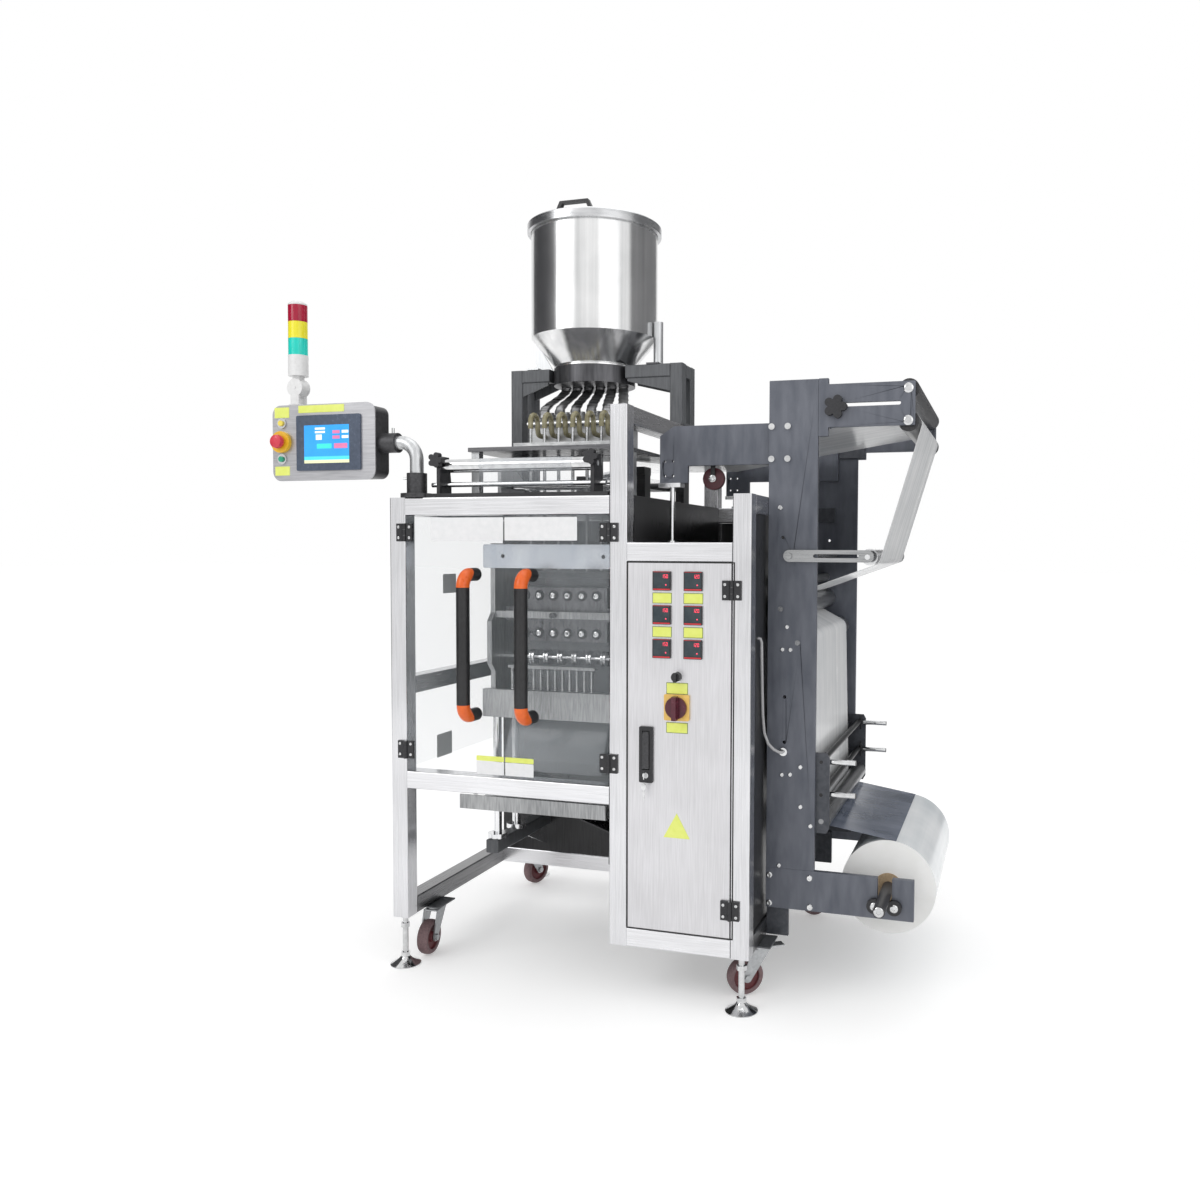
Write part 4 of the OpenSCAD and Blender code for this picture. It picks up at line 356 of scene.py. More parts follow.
# Decks: a lower and an upper plate with pillars between them, side plates with the entry rods,
# the turning bar, and black brackets with star knobs for the front roller.
deck_steel = finish("deck_steel", (0.022, 0.022, 0.024), (0.055, 0.055, 0.058),
                    0.4, (0.3, 0.45), (0.1, 1, 1), 140, 0.1)
rail_dark = finish("rail_dark", (0.10, 0.10, 0.105), (0.20, 0.20, 0.21),
                   0.7, (0.2, 0.35), (0.05, 1, 1), 200, 0.08)
chrome = finish("chrome", (0.52, 0.525, 0.53), (0.74, 0.745, 0.75), 1.0, (0.06, 0.16), (1, 1, 1), 60, 0.03)
black_plastic = finish("black_plastic", (0.010, 0.010, 0.012), (0.030, 0.030, 0.034),
                       0.0, (0.35, 0.5), (1, 1, 1), 300, 0.15)
dress("deck_plates", deck_steel,
      (black_plastic, lambda a, b: b[1] < 90 and b[2] > 1440),
      (rail_dark, lambda a, b: b[2] - a[2] < 14 and a[2] > 1470),
      (bright_steel, lambda a, b: b[0] - a[0] > 300 and b[2] - a[2] < 20 and a[2] > 1360),
      (bright_steel, lambda a, b: b[0] - a[0] > 150 and b[1] - a[1] > 150 and a[2] > 1400 and b[2] < 1470),
      (pale_steel, lambda a, b: b[0] - a[0] < 30 and b[2] - a[2] > 60 and a[1] < 250))

# Front roller: a chromed tube on a turned shaft, free to turn in the two black brackets
# at the machine's front, over the clear doors.
dress("front_roller", chrome)

# Sealing unit frame: aluminium cheeks and cover plate, cross seal housing, ground guide
# columns, guide rods, and painted base bars with gussets on the chamber's back plate.
# Painted shade: a darker grey than bare aluminium, standing for the shade inside the sealing chamber
aluminium = finish("aluminium", (0.24, 0.245, 0.25), (0.46, 0.465, 0.47),
                   0.9, (0.3, 0.42), (1, 1, 0.1), 220, 0.08)
cover_steel = finish("cover_steel", (0.52, 0.56, 0.62), (0.74, 0.77, 0.82),
                     0.8, (0.12, 0.3), (1, 1, 0.2), 16, 0.4)
# Painted shade: the heater bar is partly its own dark finish and partly darkened for the chamber's shade
heater_dark = finish("heater_dark", (0.06, 0.06, 0.065), (0.14, 0.14, 0.15),
                     0.7, (0.35, 0.5), (1, 1, 1), 120, 0.1)
dress("seal_frame", aluminium,
      (bright_steel, lambda a, b: b[0] - a[0] < 70 and b[2] > 650 and a[2] < 340),
      (bright_steel, lambda a, b: b[0] - a[0] < 14 and b[1] - a[1] > 30),
      (cover_steel, lambda a, b: b[2] > 1200 and b[0] - a[0] > 300 and b[1] < 216),
      (heater_dark, lambda a, b: b[0] - a[0] > 200 and a[1] > 299 and b[2] < 770 and a[2] > 700),
      (stand_grey, lambda a, b: b[2] < 330))

# Jaws: ribbed vertical heaters in two halves that close on the film, and the cross jaw with
# its knife below them, all of dark nickelled steel.
jaw_steel = finish("jaw_steel", (0.08, 0.08, 0.085), (0.20, 0.20, 0.21),
                   0.9, (0.25, 0.4), (1, 1, 0.2), 160, 0.1)
for name in ("vertical_jaw_front", "vertical_jaw_rear", "cross_jaw"):
    dress(name, jaw_steel)


# Heater ends: chromed plugs in black ceramic collars, two rows of six in the front jaw's
# face, one for each lane, so they ride with the jaw.
def dome(bm, x, y, z, r, h, hole=0.45, n=16):
    """Adds a domed screw head that faces the front, with a recess in its middle."""
    profile = ((1.0, 0.0), (1.0, 0.4), (0.82, 0.85), (hole + 0.1, 1.0), (hole, 0.95), (hole * 0.9, 0.35))
    round_about = [(math.cos(k * math.tau / n), math.sin(k * math.tau / n)) for k in range(n)]
    skin(bm, [[bm.verts.new(at(x + f * r * c, y - d * h, z + f * r * s)) for c, s in round_about]
              for f, d in profile])


bm, collars = bmesh.new(), bmesh.new()
lanes_middle, lane_pitch = 404, 46
for lane in range(6):
    x = lanes_middle + (lane - 2.5) * lane_pitch
    for z in (949, 1061):
        dome(collars, x, 263.9, z, 16, 3)
        dome(bm, x, 261, z, 10, 6)
shape("heater_plugs", chrome, "vertical_jaw_front", bm)
shape("heater_collars", black_plastic, "vertical_jaw_front", collars)


# Pressure springs: coiled steel springs on pins, two to a lane, that stand on the cross seal's
# housing under a flat bar.
def lathe(bm, x, y, rows, n=12):
    """Adds a part turned about an upright axis, from its radii and heights."""
    round_about = [(math.cos(k * math.tau / n), math.sin(k * math.tau / n)) for k in range(n)]
    skin(bm, [[bm.verts.new(at(x + r * c, y + r * s, z)) for c, s in round_about] for r, z in rows])


bm = bmesh.new()
core, wire, seat_z, half_turn = 4.2, 1.8, 784.1, 2.6
coils = [(core + wire * (step % 2), seat_z + step * half_turn) for step in range(26)]
for pin in range(12):
    lathe(bm, lanes_middle + (pin - 5.5) * lane_pitch / 2, 202, coils)
shape("pressure_springs", chrome, "machine", bm)
bm = bmesh.new()
prism(bm, corners(266, 849, 542, 857, 2), 195, 209)
shape("spring_bar", aluminium, "machine", bm, bevel=0.0008)

# Pull wheels: grooved steel wheels between the lanes on two shafts that turn against each
# other and draw the film down, with white end knobs.
white_plastic = finish("white_plastic", (0.78, 0.78, 0.78), (0.88, 0.88, 0.88),
                       0.0, (0.3, 0.4), (1, 1, 1), 120, 0.05)
for name in ("pull_wheels_front", "pull_wheels_rear"):
    dress(name, bright_steel, (white_plastic, lambda a, b: b[0] - a[0] < 40))

# Packet chute and tray: a clear chute under the cross seal, an aluminium channel behind the
# rail, and the black slide that the packets leave by.
chute_clear = clear("chute_clear", (0.75, 0.80, 0.84), 0.22, (0.05, 0.12))
dress("packet_chute", chute_clear, bevel=0)
slide_black = finish("slide_black", (0.012, 0.012, 0.014), (0.030, 0.030, 0.034),
                     0.0, (0.2, 0.35), (1, 1, 1), 30, 0.05)
dress("discharge_tray", aluminium, (slide_black, lambda a, b: a[1] > 204))

# Drive: a cast gear box and a ribbed motor painted blue-grey, with a steel cam disc on top,
# standing on the bottom rails behind the sealing chamber.
cast_grey = finish("cast_grey", (0.10, 0.11, 0.125), (0.17, 0.18, 0.20),
                   0.2, (0.45, 0.6), (1, 1, 1), 220, 0.35)
dress("drive_unit", cast_grey, (bright_steel, lambda a, b: b[2] - a[2] < 16 and a[2] > 250))

# Fittings on the frame: fixed hinge leaves with their pins, the arm's cast socket, and the
# caster plates, all black except the pins and the clamp screw.
socket_grey = finish("socket_grey", (0.045, 0.045, 0.048), (0.085, 0.085, 0.09),
                     0.5, (0.35, 0.5), (1, 1, 1), 160, 0.15)
dress("frame_fittings", black_plastic,
      (chrome, lambda a, b: b[0] - a[0] < 10 and b[1] - a[1] < 10),
      (chrome, lambda a, b: b[0] - a[0] < 20 and b[2] - a[2] < 10 and a[2] > 1300),
      (socket_grey, lambda a, b: a[2] > 1300 and b[0] < 130),
      (stand_grey, lambda a, b: b[2] < 150))

# Hinge screws: four chromed socket head screws in each hinge, two through the leaf on the
# door and two through the fixed leaf into the frame.
hinges = {"left_door": (50, (632, 1243), 1), "right_door": (667, (632, 1243), -1),
          "electrical_door": (1003, (270, 1095), -1)}
leaf_out, leaf_y = 17, -6.2
for body, (x, heights, side) in hinges.items():
    moving, fixed = bmesh.new(), bmesh.new()
    for z in heights:
        for dz in (-15, 15):
            dome(moving, x + side * leaf_out, leaf_y, z + dz, 4.6, 2.6)
            dome(fixed, x - side * leaf_out, leaf_y, z + dz, 4.6, 2.6)
    shape(f"{body}_hinge_screws", chrome, body, moving)
    shape(f"{body}_frame_screws", chrome, "machine", fixed)

# Feet: chromed domed pads, each with a threaded screw and two hexagon nuts, under the four
# corners of the frame.
dress("leveling_feet", chrome)

# Clear doors: acrylic sheet with cut edges, still in thin protective film, hung on the frame.
# A blank white band runs over both near the top, and two blank labels sit at the bottom.
door_clear = clear("door_clear", (0.72, 0.78, 0.82), 0.07, (0.02, 0.09))
dress("left_door_panel", door_clear, bevel=0)
dress("right_door_panel", door_clear, bevel=0)
label_white = finish("label_white", (0.84, 0.85, 0.86), (0.92, 0.92, 0.93),
                     0.0, (0.3, 0.4), (1, 1, 1), 60, 0.04)
label_yellow = finish("label_yellow", (0.80, 0.88, 0.16), (0.88, 0.95, 0.24),
                      0.0, (0.35, 0.45), (1, 1, 1), 60, 0.04)
sticker = (-0.5, 0.05)
meeting_left, meeting_right = 356.5, 360.5
for body, x0, x1 in (("left_door", 134, meeting_left), ("right_door", meeting_right, 575)):
    bm = bmesh.new()
    prism(bm, corners(x0, 1221, x1, 1284, 2), *sticker)
    shape(f"{body}_band", label_white, body, bm)
for body, x0, x1 in (("left_door", 272, meeting_left), ("right_door", meeting_right, 446)):
    for part, made, z0, z1 in (("label", label_white, 576, 612), ("label_head", label_yellow, 613, 627)):
        bm = bmesh.new()
        prism(bm, corners(x0, z0, x1, z1, 2), *sticker)
        shape(f"{body}_{part}", made, body, bm)

# Door handles: bow grips of matte black tube with orange end caps, screwed through the doors.
# Each end cap wraps the outer half of the bend.
grip_black = finish("grip_black", (0.010, 0.010, 0.011), (0.024, 0.024, 0.026),
                    0.0, (0.32, 0.45), (1, 1, 0.3), 240, 0.12)
cap_orange = finish("cap_orange", (0.80, 0.12, 0.015), (0.92, 0.17, 0.025),
                    0.0, (0.25, 0.35), (1, 1, 1), 80, 0.05)
straight_from, straight_to, cap_back = 776, 1095, -64
for name in ("left_door_handle", "right_door_handle"):
    dress(name, grip_black, (black_plastic, lambda a, b: b[2] - a[2] < 60))
    mesh = node[name].data
    mesh.materials.append(cap_orange)
    for p in mesh.polygons:
        y, z = measured(p.center)[1:]
        past = max(straight_from - z, z - straight_to)
        if p.material_index == 0 and past > 0 and y < cap_back + 0.6 * past:
            p.material_index = len(mesh.materials) - 1

# Cabinet door: satin steel sheet folded back at its edges, on two black hinges, with
# cut-outs for the controllers, switches and lock that it carries.
door_satin = finish("door_satin", (0.60, 0.595, 0.61), (0.73, 0.725, 0.745),
                    0.85, (0.34, 0.46), (1, 1, 0.03), 380, 0.06)
dress("cabinet_door", door_satin, (black_plastic, lambda a, b: b[0] - a[0] < 60))

# Door seal: black rubber pressed into the gap between the door's folded edge and the frame,
# seen as a thin dark line all round the door. The strip is drawn wider than the gap and over
# the door's edge, so its black is partly the rubber and partly painted shade in the gap.
# Painted shade: the black strip also stands for the shade in the gap round the door
seal_black_and_gap_shade = finish("seal_black_and_gap_shade", (0.008, 0.008, 0.008), (0.020, 0.020, 0.020),
                    0.0, (0.5, 0.65), (1, 1, 1), 200, 0.1)
low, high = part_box("cabinet_door")
hem, lip = 1.6, 1.8
left, _, foot = measured(low)
far, _, head = measured(high)


def plate(bm, x0, z0, x1, z1, y0, y1):
    """Adds a square cornered plate, seen from the front."""
    prism(bm, [(x0, z0), (x1, z0), (x1, z1), (x0, z1)], y0, y1)


bm = bmesh.new()
for x0, z0, x1, z1 in ((left - lip, foot - lip, left + hem, head + lip),
                       (far - hem, foot - lip, far + lip, head + lip),
                       (left + hem, foot - lip, far - hem, foot + hem),
                       (left + hem, head - hem, far - hem, head + lip)):
    plate(bm, x0, z0, x1, z1, -0.6, -0.05)
shape("door_seal", seal_black_and_gap_shade, "electrical_door", bm)

# Instruments: six temperature controllers in black bezels, the selector's ring, the main
# switch's yellow plate and the dark lock case with its chromed cylinder and key.
switch_yellow = finish("switch_yellow", (0.83, 0.50, 0.10), (0.93, 0.62, 0.18),
                       0.0, (0.3, 0.4), (1, 1, 1), 80, 0.05)
dress("door_instruments", black_plastic,
      (chrome, lambda a, b: b[0] - a[0] < 30 and b[1] > 20 and a[2] > 840),
      (switch_yellow, lambda a, b: abs(a[2] + b[2] - 1578) < 4 and b[0] - a[0] > 60),
      (chrome, lambda a, b: b[0] - a[0] < 18))
display = finish("display", (0.020, 0.035, 0.045), (0.045, 0.065, 0.075),
                 0.0, (0.1, 0.2), (1, 1, 1), 60, 0.02)
red_line = finish("red_line", (0.60, 0.03, 0.04), (0.75, 0.05, 0.06), 0.0, (0.3, 0.4), (1, 1, 1), 60, 0.02)
red_digit = finish("red_digit", (0.85, 0.05, 0.10), (1.0, 0.10, 0.16), 0.0, (0.3, 0.4), (1, 1, 1), 60, 0.0,
                   Emission_Color=(1.0, 0.06, 0.12, 1), Emission_Strength=0.9)
label_edge = finish("label_edge", (0.10, 0.16, 0.03), (0.16, 0.22, 0.05),
                    0.0, (0.4, 0.5), (1, 1, 1), 60, 0.02)
faces, lines, digits, yellow, edges = (bmesh.new() for _ in range(5))
# Bars of a seven part figure: top, upper left and right, middle, lower left and right, bottom
figures = {"1": "0010010", "2": "1011101", "0": "1110111", "5": "1101011"}
bars = ((0, 8, 4, 9), (0, 4.4, 1, 8.6), (3.4, 4.4, 4.4, 8.6), (0, 3.8, 4, 4.8),
        (0, 0, 1, 4.2), (3.4, 0, 4.4, 4.2), (0, -0.4, 4, 0.6))
columns, top_row, row_pitch = (815, 900), 1117, 88
screen, figure_depth, label, label_back = (-5.6, -4.9), (-6.0, -5.5), (-0.8, -0.05), (-0.5, -0.05)
rim = 1.5
for x, shown in zip(columns, ("150", "120")):
    for row in range(3):
        z = top_row - row * row_pitch
        prism(faces, corners(x - 22, z - 18, x + 22, z + 22, 1), *screen)
        prism(lines, corners(x - 23, z - 23.5, x + 23, z - 20, 0.5), *screen)
        prism(lines, corners(x - 23, z + 23, x + 23, z + 24.2, 0.5), *screen)
        for k, figure in enumerate(shown):
            fx, fz = x + 1 + k * 6, z + 8
            for glows, (x0, z0, x1, z1) in zip(figures[figure], bars):
                if glows == "1":
                    plate(digits, fx + x0, fz + z0, fx + x1, fz + z1, *figure_depth)
        dome(digits, x + 12, -5.5, z - 10, 2.0, 0.5, 0.2, 8)
boxes = [(x - 25, z - 13, x + 25, z + 12) for x in columns for z in (1073, 985)]
boxes += [(829, z0, 885, z1) for z0, z1 in ((825, 852), (723, 748))]
for x0, z0, x1, z1 in boxes:
    prism(yellow, corners(x0, z0, x1, z1, 1), *label)
    prism(edges, corners(x0 - rim, z0 - rim, x1 + rim, z1 + rim, 1), *label_back)
prism(yellow, [(821, 446), (893, 446), (857, 511)], *label)
shape("controller_faces", display, "electrical_door", faces)
shape("controller_lines", red_line, "electrical_door", lines)
shape("controller_digits", red_digit, "electrical_door", digits)
shape("door_labels", label_yellow, "electrical_door", yellow)
shape("door_label_edges", label_edge, "electrical_door", edges)

# Lock handle, main switch and selector: a dark swing handle, a dark red knob with a raised
# grip, and a small black two-way knob.
dress("lock_handle", socket_grey)
knob_red = finish("knob_red", (0.075, 0.010, 0.022), (0.12, 0.020, 0.036),
                  0.0, (0.18, 0.3), (1, 1, 1), 60, 0.05)
dress("main_switch_knob", knob_red)
dress("selector_knob", black_plastic)

# Key: a flat key that hangs with its round bow on the lock's cylinder, in front of the
# cabinet door.
bm = bmesh.new()
blade = [(770, 574), (775, 574), (775.5, 560), (774, 548), (772.5, 534), (771, 548), (769.5, 560)]
prism(bm, blade, -21, -19)
prism(bm, corners(766, 570, 779, 588, 6), -21.5, -18.5)
shape("hanging_key", chrome, "electrical_door", bm, bevel=0.0004)

# Panel arm: bent bright steel pipe that turns in the socket on the frame and holds the
# operator panel's collar.
dress("panel_arm", pale_steel)

# Operator panel: a dark cast shell with a brushed front frame, yellow collar of the emergency
# stop, ringed buttons and the white foot of the signal light.
panel_face = finish("panel_face", (0.41, 0.41, 0.43), (0.57, 0.57, 0.59),
                    0.6, (0.3, 0.42), (0.06, 1, 1), 260, 0.12)
ring_yellow = finish("ring_yellow", (0.86, 0.50, 0.02), (0.95, 0.62, 0.05),
                     0.0, (0.25, 0.35), (1, 1, 1), 60, 0.04)
dress("operator_panel", socket_grey,
      (ring_yellow, lambda a, b: 55 < b[0] - a[0] < 65 and b[1] - a[1] < 14 and a[1] < -20),
      (chrome, lambda a, b: b[0] - a[0] < 32 and b[1] - a[1] < 8),
      (chrome, lambda a, b: b[0] - a[0] < 10),
      (white_plastic, lambda a, b: a[2] > 1600 and b[0] - a[0] > 40),
      (panel_face, lambda a, b: b[1] - a[1] < 6 and b[0] - a[0] > 300))
bm = bmesh.new()
for x0, z0, x1, z1 in ((-374, 1574, -324, 1604), (-374, 1408, -324, 1434), (-292, 1586, -138, 1607)):
    prism(bm, corners(x0, z0, x1, z1, 1.5), -12.8, -12.05)
shape("panel_labels", label_yellow, "operator_panel", bm)

# Touch screen: a dark slate bezel set in the operator panel, round a display that shows
# plain generic fields and no words.
bezel_slate = finish("bezel_slate", (0.055, 0.075, 0.115), (0.085, 0.11, 0.165),
                     0.0, (0.2, 0.3), (1, 1, 1), 90, 0.04)
dress("touch_screen", bezel_slate)


def lit(name, dark, light):
    """Finish of a glowing field of the display."""
    return finish(name, dark, light, 0.0, (0.12, 0.2), (1, 1, 1), 12, 0.0,
                  Emission_Color=(*light, 1), Emission_Strength=0.35)


fields = {
    "screen_blue": (lit("screen_blue", (0.02, 0.26, 0.80), (0.03, 0.40, 0.92)), ((-269, 1460, -118, 1549),)),
    "screen_cyan": (lit("screen_cyan", (0.05, 0.62, 0.85), (0.10, 0.75, 0.92)), ((-269, 1450, -118, 1460),)),
    "screen_sand": (lit("screen_sand", (0.75, 0.76, 0.45), (0.85, 0.85, 0.55)), ((-269, 1441, -118, 1450),)),
    "screen_white": (lit("screen_white", (0.8, 0.85, 0.95), (0.92, 0.95, 1.0)),
                     ((-232, 1536, -198, 1542), (-232, 1526, -198, 1532), (-229, 1507, -209, 1522),
                      (-142, 1525, -120, 1533), (-142, 1510, -120, 1518))),
    "screen_pink": (lit("screen_pink", (0.62, 0.16, 0.34), (0.78, 0.22, 0.42)),
                    ((-173, 1524, -149, 1533), (-173, 1509, -149, 1518), (-168, 1482, -124, 1496))),
    "screen_green": (lit("screen_green", (0.03, 0.62, 0.55), (0.05, 0.78, 0.68)),
                     ((-226, 1482, -176, 1496),)),
}
grounds, ground_y, field_y, glass_y = ("screen_blue", "screen_cyan", "screen_sand"), -18.25, -18.45, -17.95
for name, (made, boxes) in fields.items():
    bm = bmesh.new()
    for x0, z0, x1, z1 in boxes:
        prism(bm, corners(x0, z0, x1, z1, 0.5), ground_y if name in grounds else field_y, glass_y)
    shape(name, made, "operator_panel", bm)

# Buttons: the emergency stop's red mushroom head over its yellow collar, and two sprung
# buttons, yellow and green, in bright rings.
stop_red = finish("stop_red", (0.66, 0.04, 0.07), (0.80, 0.07, 0.11), 0.0, (0.2, 0.32), (1, 1, 1), 60, 0.04)
dress("estop_button", stop_red)
button_yellow = finish("button_yellow", (0.90, 0.72, 0.08), (0.96, 0.82, 0.16),
                       0.0, (0.2, 0.3), (1, 1, 1), 60, 0.03)
dress("yellow_button", button_yellow)
button_green = finish("button_green", (0.02, 0.36, 0.20), (0.04, 0.46, 0.28),
                      0.0, (0.2, 0.3), (1, 1, 1), 60, 0.03)
dress("green_button", button_green)

# Signal light: a folding white base, and three moulded lenses in teal, yellow and red
# under a plain cap.
lens_teal = finish("lens_teal", (0.0, 0.62, 0.50), (0.03, 0.80, 0.68),
                   0.0, (0.15, 0.25), (3, 3, 0.2), 90, 0.2)
lens_yellow = finish("lens_yellow", (0.90, 0.80, 0.02), (0.98, 0.92, 0.06),
                     0.0, (0.15, 0.25), (3, 3, 0.2), 90, 0.2)
lens_red = finish("lens_red", (0.36, 0.0, 0.03), (0.55, 0.01, 0.05), 0.0, (0.12, 0.22), (3, 3, 0.2), 90, 0.2)
dress("beacon", white_plastic,
      (lens_teal, lambda a, b: 1750 < a[2] < 1770 and b[2] - a[2] < 50),
      (lens_yellow, lambda a, b: 1800 < a[2] < 1815 and b[2] - a[2] < 50),
      (lens_red, lambda a, b: 1845 < a[2] < 1865 and b[2] - a[2] < 50))

# Film rack: thick steel plates painted a slightly cloudy slate blue, joined by tie bars, and
# bolted to the frame's side.
rack_slate = finish("rack_slate", (0.095, 0.105, 0.13), (0.165, 0.175, 0.205),
                    0.25, (0.34, 0.5), (1, 1, 0.25), 40, 0.10)
dress("rack_plates", rack_slate, bevel=0.0012)
bm = bmesh.new()
plate_face = 181.9
for x, z, r in ((1063, 314, 8.5), (1063, 237, 8.5), (1174, 315, 8.5), (1175, 236, 8.5), (1089, 342, 6),
                (1175, 457, 6), (1146, 615, 6), (1147, 507, 6), (1095, 591, 6), (1118, 593, 6),
                (1085, 1312, 7), (1106, 992, 6), (1094, 931, 6), (1116, 931, 6)):
    dome(bm, x, plate_face, z, r, r * 0.5)
shape("rack_bolts", chrome, "machine", bm)
bar_slate = finish("bar_slate", (0.045, 0.05, 0.06), (0.09, 0.095, 0.11),
                   0.3, (0.35, 0.5), (1, 0.3, 1), 80, 0.12)
dress("rack_bars", bar_slate,
      (black_plastic, lambda a, b: a[0] > 1200 and b[2] - a[2] < 70 and a[2] > 1500 and b[1] < 190),
      (bright_steel, lambda a, b: a[0] < 830 and b[1] - a[1] < 60),
      (black_plastic, lambda a, b: b[1] - a[1] < 14 and 36 < b[0] - a[0] < 45),
      (chrome, lambda a, b: b[1] - a[1] < 14 and b[0] - a[0] < 36),
      (bright_steel, lambda a, b: b[1] - a[1] > 600 and b[0] - a[0] > 29 and a[0] < 900),
      (aluminium, lambda a, b: b[1] - a[1] > 600 and b[0] - a[0] < 29 and b[2] - a[2] < 29))
bm = bmesh.new()
roll_x = 1375
for side in (-1, 1):
    dome(bm, roll_x + side * 26, 168.8, 260.7, 11, 4)
shape("cradle_bolts", chrome, "machine", bm)

# Measuring wheel: a dark red rubber tyre on a turned hub, on a flat arm screwed to the
# inside of the front beam.
tyre_red = finish("tyre_red", (0.055, 0.010, 0.016), (0.11, 0.022, 0.032),
                  0.0, (0.3, 0.45), (1, 1, 1), 90, 0.1)
bm = bmesh.new()
prism(bm, corners(851, 1365, 913, 1427, 31, 10), 236, 252)
shape("measuring_wheel", tyre_red, "machine", bm, bevel=0.0015)
bm = bmesh.new()
prism(bm, corners(872, 1386, 892, 1406, 10, 6), 226, 254)
dome(bm, 882, 225.9, 1396, 8, 3)
shape("measuring_wheel_hub", chrome, "machine", bm, bevel=0.0006)
bm = bmesh.new()
plate(bm, 876, 1400, 888, 1450, 229, 235)
plate(bm, 872, 1432, 892, 1450, 212.3, 235)
shape("measuring_wheel_arm", black_steel, "machine", bm, bevel=0.0006)

# Rollers: anodised guide and feed rollers, a bright dancer roller, and black covered rollers
# at the top arm, each free to turn on a fixed shaft between the plates.
roller_grey = finish("roller_grey", (0.20, 0.205, 0.215), (0.32, 0.325, 0.335),
                     0.9, (0.25, 0.38), (1, 0.05, 1), 260, 0.08)
for name in ("guide_roller", "feed_roller_lower", "feed_roller_upper"):
    dress(name, roller_grey)
roller_black = finish("roller_black", (0.020, 0.020, 0.022), (0.055, 0.055, 0.058),
                      0.0, (0.25, 0.4), (1, 0.05, 1), 200, 0.08)
dress("arm_roller", bright_steel)
for name, z in (("top_roller", 1617), ("exit_roller", 1534)):
    dress(name, roller_black)
    bm = bmesh.new()
    dome(bm, 1420, plate_face, z, 13, 4)
    shape(f"{name}_bolt", chrome, name, bm)

# Dancer arms and splice clamps: bright steel arms, and black clamp bars with a chromed grip
# and a locking screw at each end.
arm_steel = finish("arm_steel", (0.30, 0.305, 0.31), (0.48, 0.485, 0.49),
                   0.9, (0.22, 0.36), (0.05, 1, 1), 260, 0.08)
dress("slotted_arms", arm_steel)
grip_radius, grip_from, grip_to, grip_sides = 7.5, 1216, 1291, 16
for name, z in (("upper_clamp", 629), ("lower_clamp", 540)):
    dress(name, black_steel)
    grips, screws = bmesh.new(), bmesh.new()
    for y in (212.2, 877.8):
        turns = [k * math.tau / grip_sides for k in range(grip_sides)]
        tube = [(y + grip_radius * math.cos(a), z + grip_radius * math.sin(a)) for a in turns]
        skin(grips, [[grips.verts.new(at(x, *point)) for point in tube] for x in (grip_from, grip_to)])
        prism(screws, corners(1205, z - 24, 1211, z + 24, 2.5), y - 3, y + 3)
        prism(screws, corners(1201, z - 6, 1215, z + 6, 3), y - 6, y + 6)
    shape(f"{name}_grips", chrome, name, grips, bevel=0.001)
    shape(f"{name}_screws", black_steel, name, screws, bevel=0.0006)

# Film roll: a wound roll of white backed film with paler end faces, on a card core and a
# shaft with a bolt in its end.
film_side = finish("film_side", (0.62, 0.67, 0.70), (0.97, 0.98, 0.99),
                   0.0, (0.12, 0.25), (1, 0.02, 1), 14, 0.2)
card = finish("card", (0.38, 0.27, 0.16), (0.52, 0.39, 0.25), 0.0, (0.7, 0.85), (1, 1, 1), 200, 0.2)
dress("film_roll", film_side,
      (card, lambda a, b: 60 < b[2] - a[2] < 80),
      (socket_grey, lambda a, b: b[2] - a[2] < 40))
film_edges = finish("film_edges", (0.93, 0.93, 0.91), (0.99, 0.99, 0.98),
                    0.0, (0.35, 0.5), (1, 1, 1), 30, 0.05)
roll = node["film_roll"].data
roll.materials.append(film_edges)
for p in roll.polygons:
    if p.material_index == 0 and abs(p.normal.y) > 0.9:
        p.material_index = len(roll.materials) - 1
low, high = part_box("film_roll")
bm = bmesh.new()
dome(bm, roll_x, measured(low)[1] - 0.1, 286, 13, 4)
shape("shaft_end", chrome, "film_roll", bm)

# Film: one web of thin film round the rollers, over the beams and into the sealing unit. It looks
# white over the rollers and clear over the machine; where it leaves the roll it is a dark, glossy
# copy of the film, its darkness painted shade.
film = finish("film", (0.88, 0.90, 0.92), (0.99, 0.99, 0.99),
              0.0, (0.15, 0.3), (0.02, 1, 0.04), 45, 0.6, Alpha=0.82)
# Painted shade: a dark copy of the film for the stretch that leaves the roll
film_painted_shade = finish("film_painted_shade", (0.09, 0.11, 0.15), (0.26, 0.29, 0.37),
                   0.0, (0.08, 0.2), (0.4, 1, 0.4), 9, 0.5, Alpha=0.86)
clear_film = finish("clear_film", (0.70, 0.75, 0.80), (0.85, 0.88, 0.92),
                    0.0, (0.08, 0.2), (1, 1, 0.1), 30, 0.2, Alpha=0.12)
dress("film_web", film, bevel=0)
web = node["film_web"].data
web.materials.append(clear_film)
web.materials.append(film_painted_shade)
clear_up_to, shade_from, shade_below = 660, 1212, 500
for p in web.polygons:
    x, _, z = measured(p.center)
    if x < clear_up_to:
        p.material_index = 1
    elif z < shade_below and x > shade_from:
        p.material_index = 2

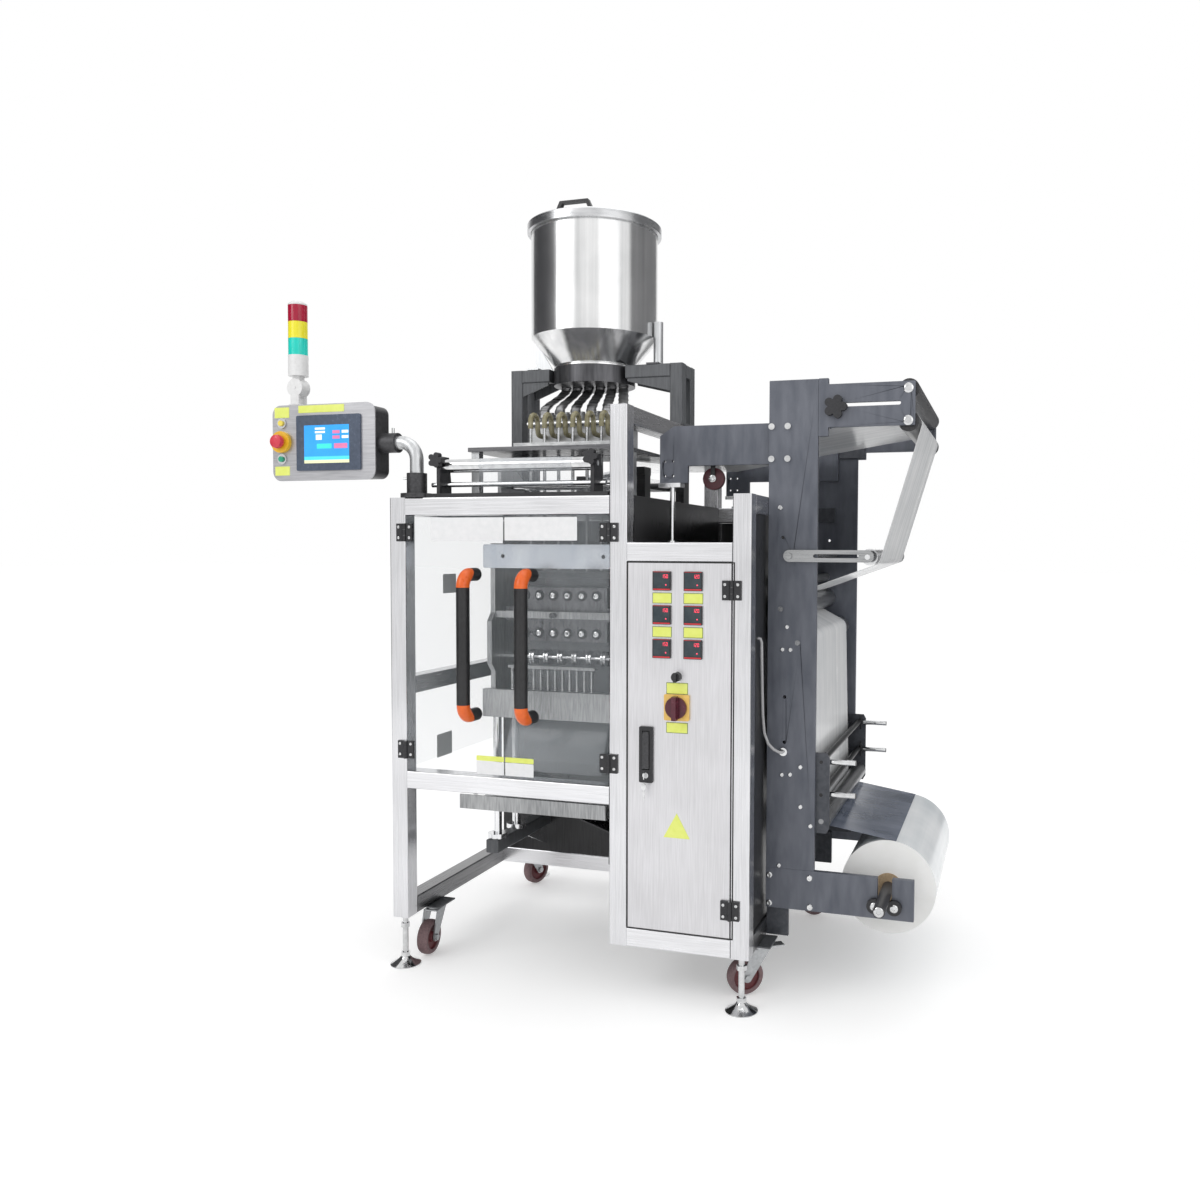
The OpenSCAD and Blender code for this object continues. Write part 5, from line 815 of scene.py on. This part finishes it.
# Casters: galvanised forks on swivel heads, and dark red-brown wheels whose treads are worn
# to a paler reddish grey.
fork_steel = finish("fork_steel", (0.34, 0.35, 0.36), (0.50, 0.51, 0.52),
                    0.9, (0.3, 0.45), (1, 1, 1), 120, 0.1)
wheel_brown = finish("wheel_brown", (0.10, 0.022, 0.026), (0.17, 0.040, 0.045),
                     0.0, (0.45, 0.6), (1, 1, 1), 140, 0.15)
tread_grey = finish("tread_grey", (0.15, 0.095, 0.10), (0.24, 0.155, 0.16),
                    0.0, (0.55, 0.7), (1, 1, 1), 200, 0.2)
tread_from = 0.036
for corner in ("front_left", "front_right", "rear_left", "rear_right"):
    dress(f"caster_{corner}", fork_steel)
    dress(f"wheel_{corner}", wheel_brown)
    wheel = node[f"wheel_{corner}"].data
    wheel.materials.append(tread_grey)
    low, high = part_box(f"wheel_{corner}")
    hub = (low + high) / 2
    for p in wheel.polygons:
        if min((wheel.vertices[v].co - hub).length for v in p.vertices) > tread_from:
            p.material_index = 1


# Studio: a pale floor that keeps the soft shadow, a white surround, grey boards at two sides
# and three large soft lamps.
def looked_at(tree):
    """1 where a camera, a mirror or a glass looks straight at the surface, else 0."""
    path = tree.nodes.new("ShaderNodeLightPath")
    found = path.outputs["Is Camera Ray"]
    for ray in ("Is Glossy Ray", "Is Transmission Ray"):
        most = tree.nodes.new("ShaderNodeMath")
        most.operation = "MAXIMUM"
        tree.links.new(found, most.inputs[0])
        tree.links.new(path.outputs[ray], most.inputs[1])
        found = most.outputs["Value"]
    return found


def plain(name, colour, glow):
    """Pale floor that glows a little where it is looked at, so that it shows as white."""
    made = bpy.data.materials.new(name)
    made.use_nodes = True
    tree = made.node_tree
    tree.nodes.clear()
    out = tree.nodes.new("ShaderNodeOutputMaterial")
    matt = tree.nodes.new("ShaderNodeBsdfDiffuse")
    matt.inputs["Color"].default_value = (*colour, 1)
    light = tree.nodes.new("ShaderNodeEmission")
    total = tree.nodes.new("ShaderNodeAddShader")
    strong = tree.nodes.new("ShaderNodeMath")
    strong.operation = "MULTIPLY"
    strong.inputs[1].default_value = glow
    join = tree.links.new
    join(looked_at(tree), strong.inputs[0])
    join(strong.outputs["Value"], light.inputs["Strength"])
    join(matt.outputs["BSDF"], total.inputs[0])
    join(light.outputs["Emission"], total.inputs[1])
    join(total.outputs["Shader"], out.inputs["Surface"])
    return made


def sheet(name, made, size, segments):
    """A level sheet of the studio, round the origin."""
    bm = bmesh.new()
    bmesh.ops.create_grid(bm, x_segments=segments, y_segments=segments, size=size)
    mesh = bpy.data.meshes.new(name)
    bm.to_mesh(mesh)
    bm.free()
    mesh.materials.append(made)
    piece = bpy.data.objects.new(name, mesh)
    bpy.context.scene.collection.objects.link(piece)
    return piece


floor = sheet("floor", plain("floor_white", (0.86, 0.86, 0.86), 0.32), 60, 8)

sky = bpy.data.worlds.new("surround")
sky.use_nodes = True
bpy.context.scene.world = sky
tree = sky.node_tree
back = tree.nodes["Background"]
back.inputs["Color"].default_value = (1, 1, 1, 1)
grade = tree.nodes.new("ShaderNodeMapRange")
grade.inputs["To Min"].default_value = 0.8
grade.inputs["To Max"].default_value = 1.0
tree.links.new(looked_at(tree), grade.inputs["Value"])
tree.links.new(grade.outputs["Result"], back.inputs["Strength"])

# Grey boards that only polished metal sees give it its dark sides
boards = (("board_right", (0.20, 0.20, 0.205), (0.30, 0.30, 0.305), 42, 8.4),
          ("board_left", (0.060, 0.060, 0.065), (0.11, 0.11, 0.115), 186, 6.4))
away, half_height = 4.4, 2.6
for k, (name, dark, light, angle, wide) in enumerate(boards):
    board = sheet(f"board_{k}", finish(name, dark, light, 0.0, (0.8, 0.9), (1, 1, 1), 3, 0.0), 1, 1)
    a = math.radians(angle)
    board.location = (away * math.cos(a), away * math.sin(a), half_height)
    board.rotation_euler = (math.pi / 2, 0, a + math.pi / 2)
    board.scale = (wide / 2, half_height, 1)
    board.visible_camera = board.visible_diffuse = False
    board.visible_transmission = board.visible_shadow = False

aim = Vector((0.1, 0, 1.0))
lamps = (("key", (-2.6, -3.6, 3.6), 2.2, 42),
         ("fill", (3.4, -3.0, 2.4), 2.6, 16),
         ("top", (0.2, 0.4, 4.4), 2.6, 20))
for name, place, size, power in lamps:
    lamp = bpy.data.lights.new(name, "AREA")
    lamp.size = size
    lamp.energy = power
    lit_by = bpy.data.objects.new(name, lamp)
    bpy.context.scene.collection.objects.link(lit_by)
    lit_by.location = place
    lit_by.rotation_euler = (aim - Vector(place)).to_track_quat("-Z", "Y").to_euler()
bpy.context.scene.view_settings.view_transform = "Standard"
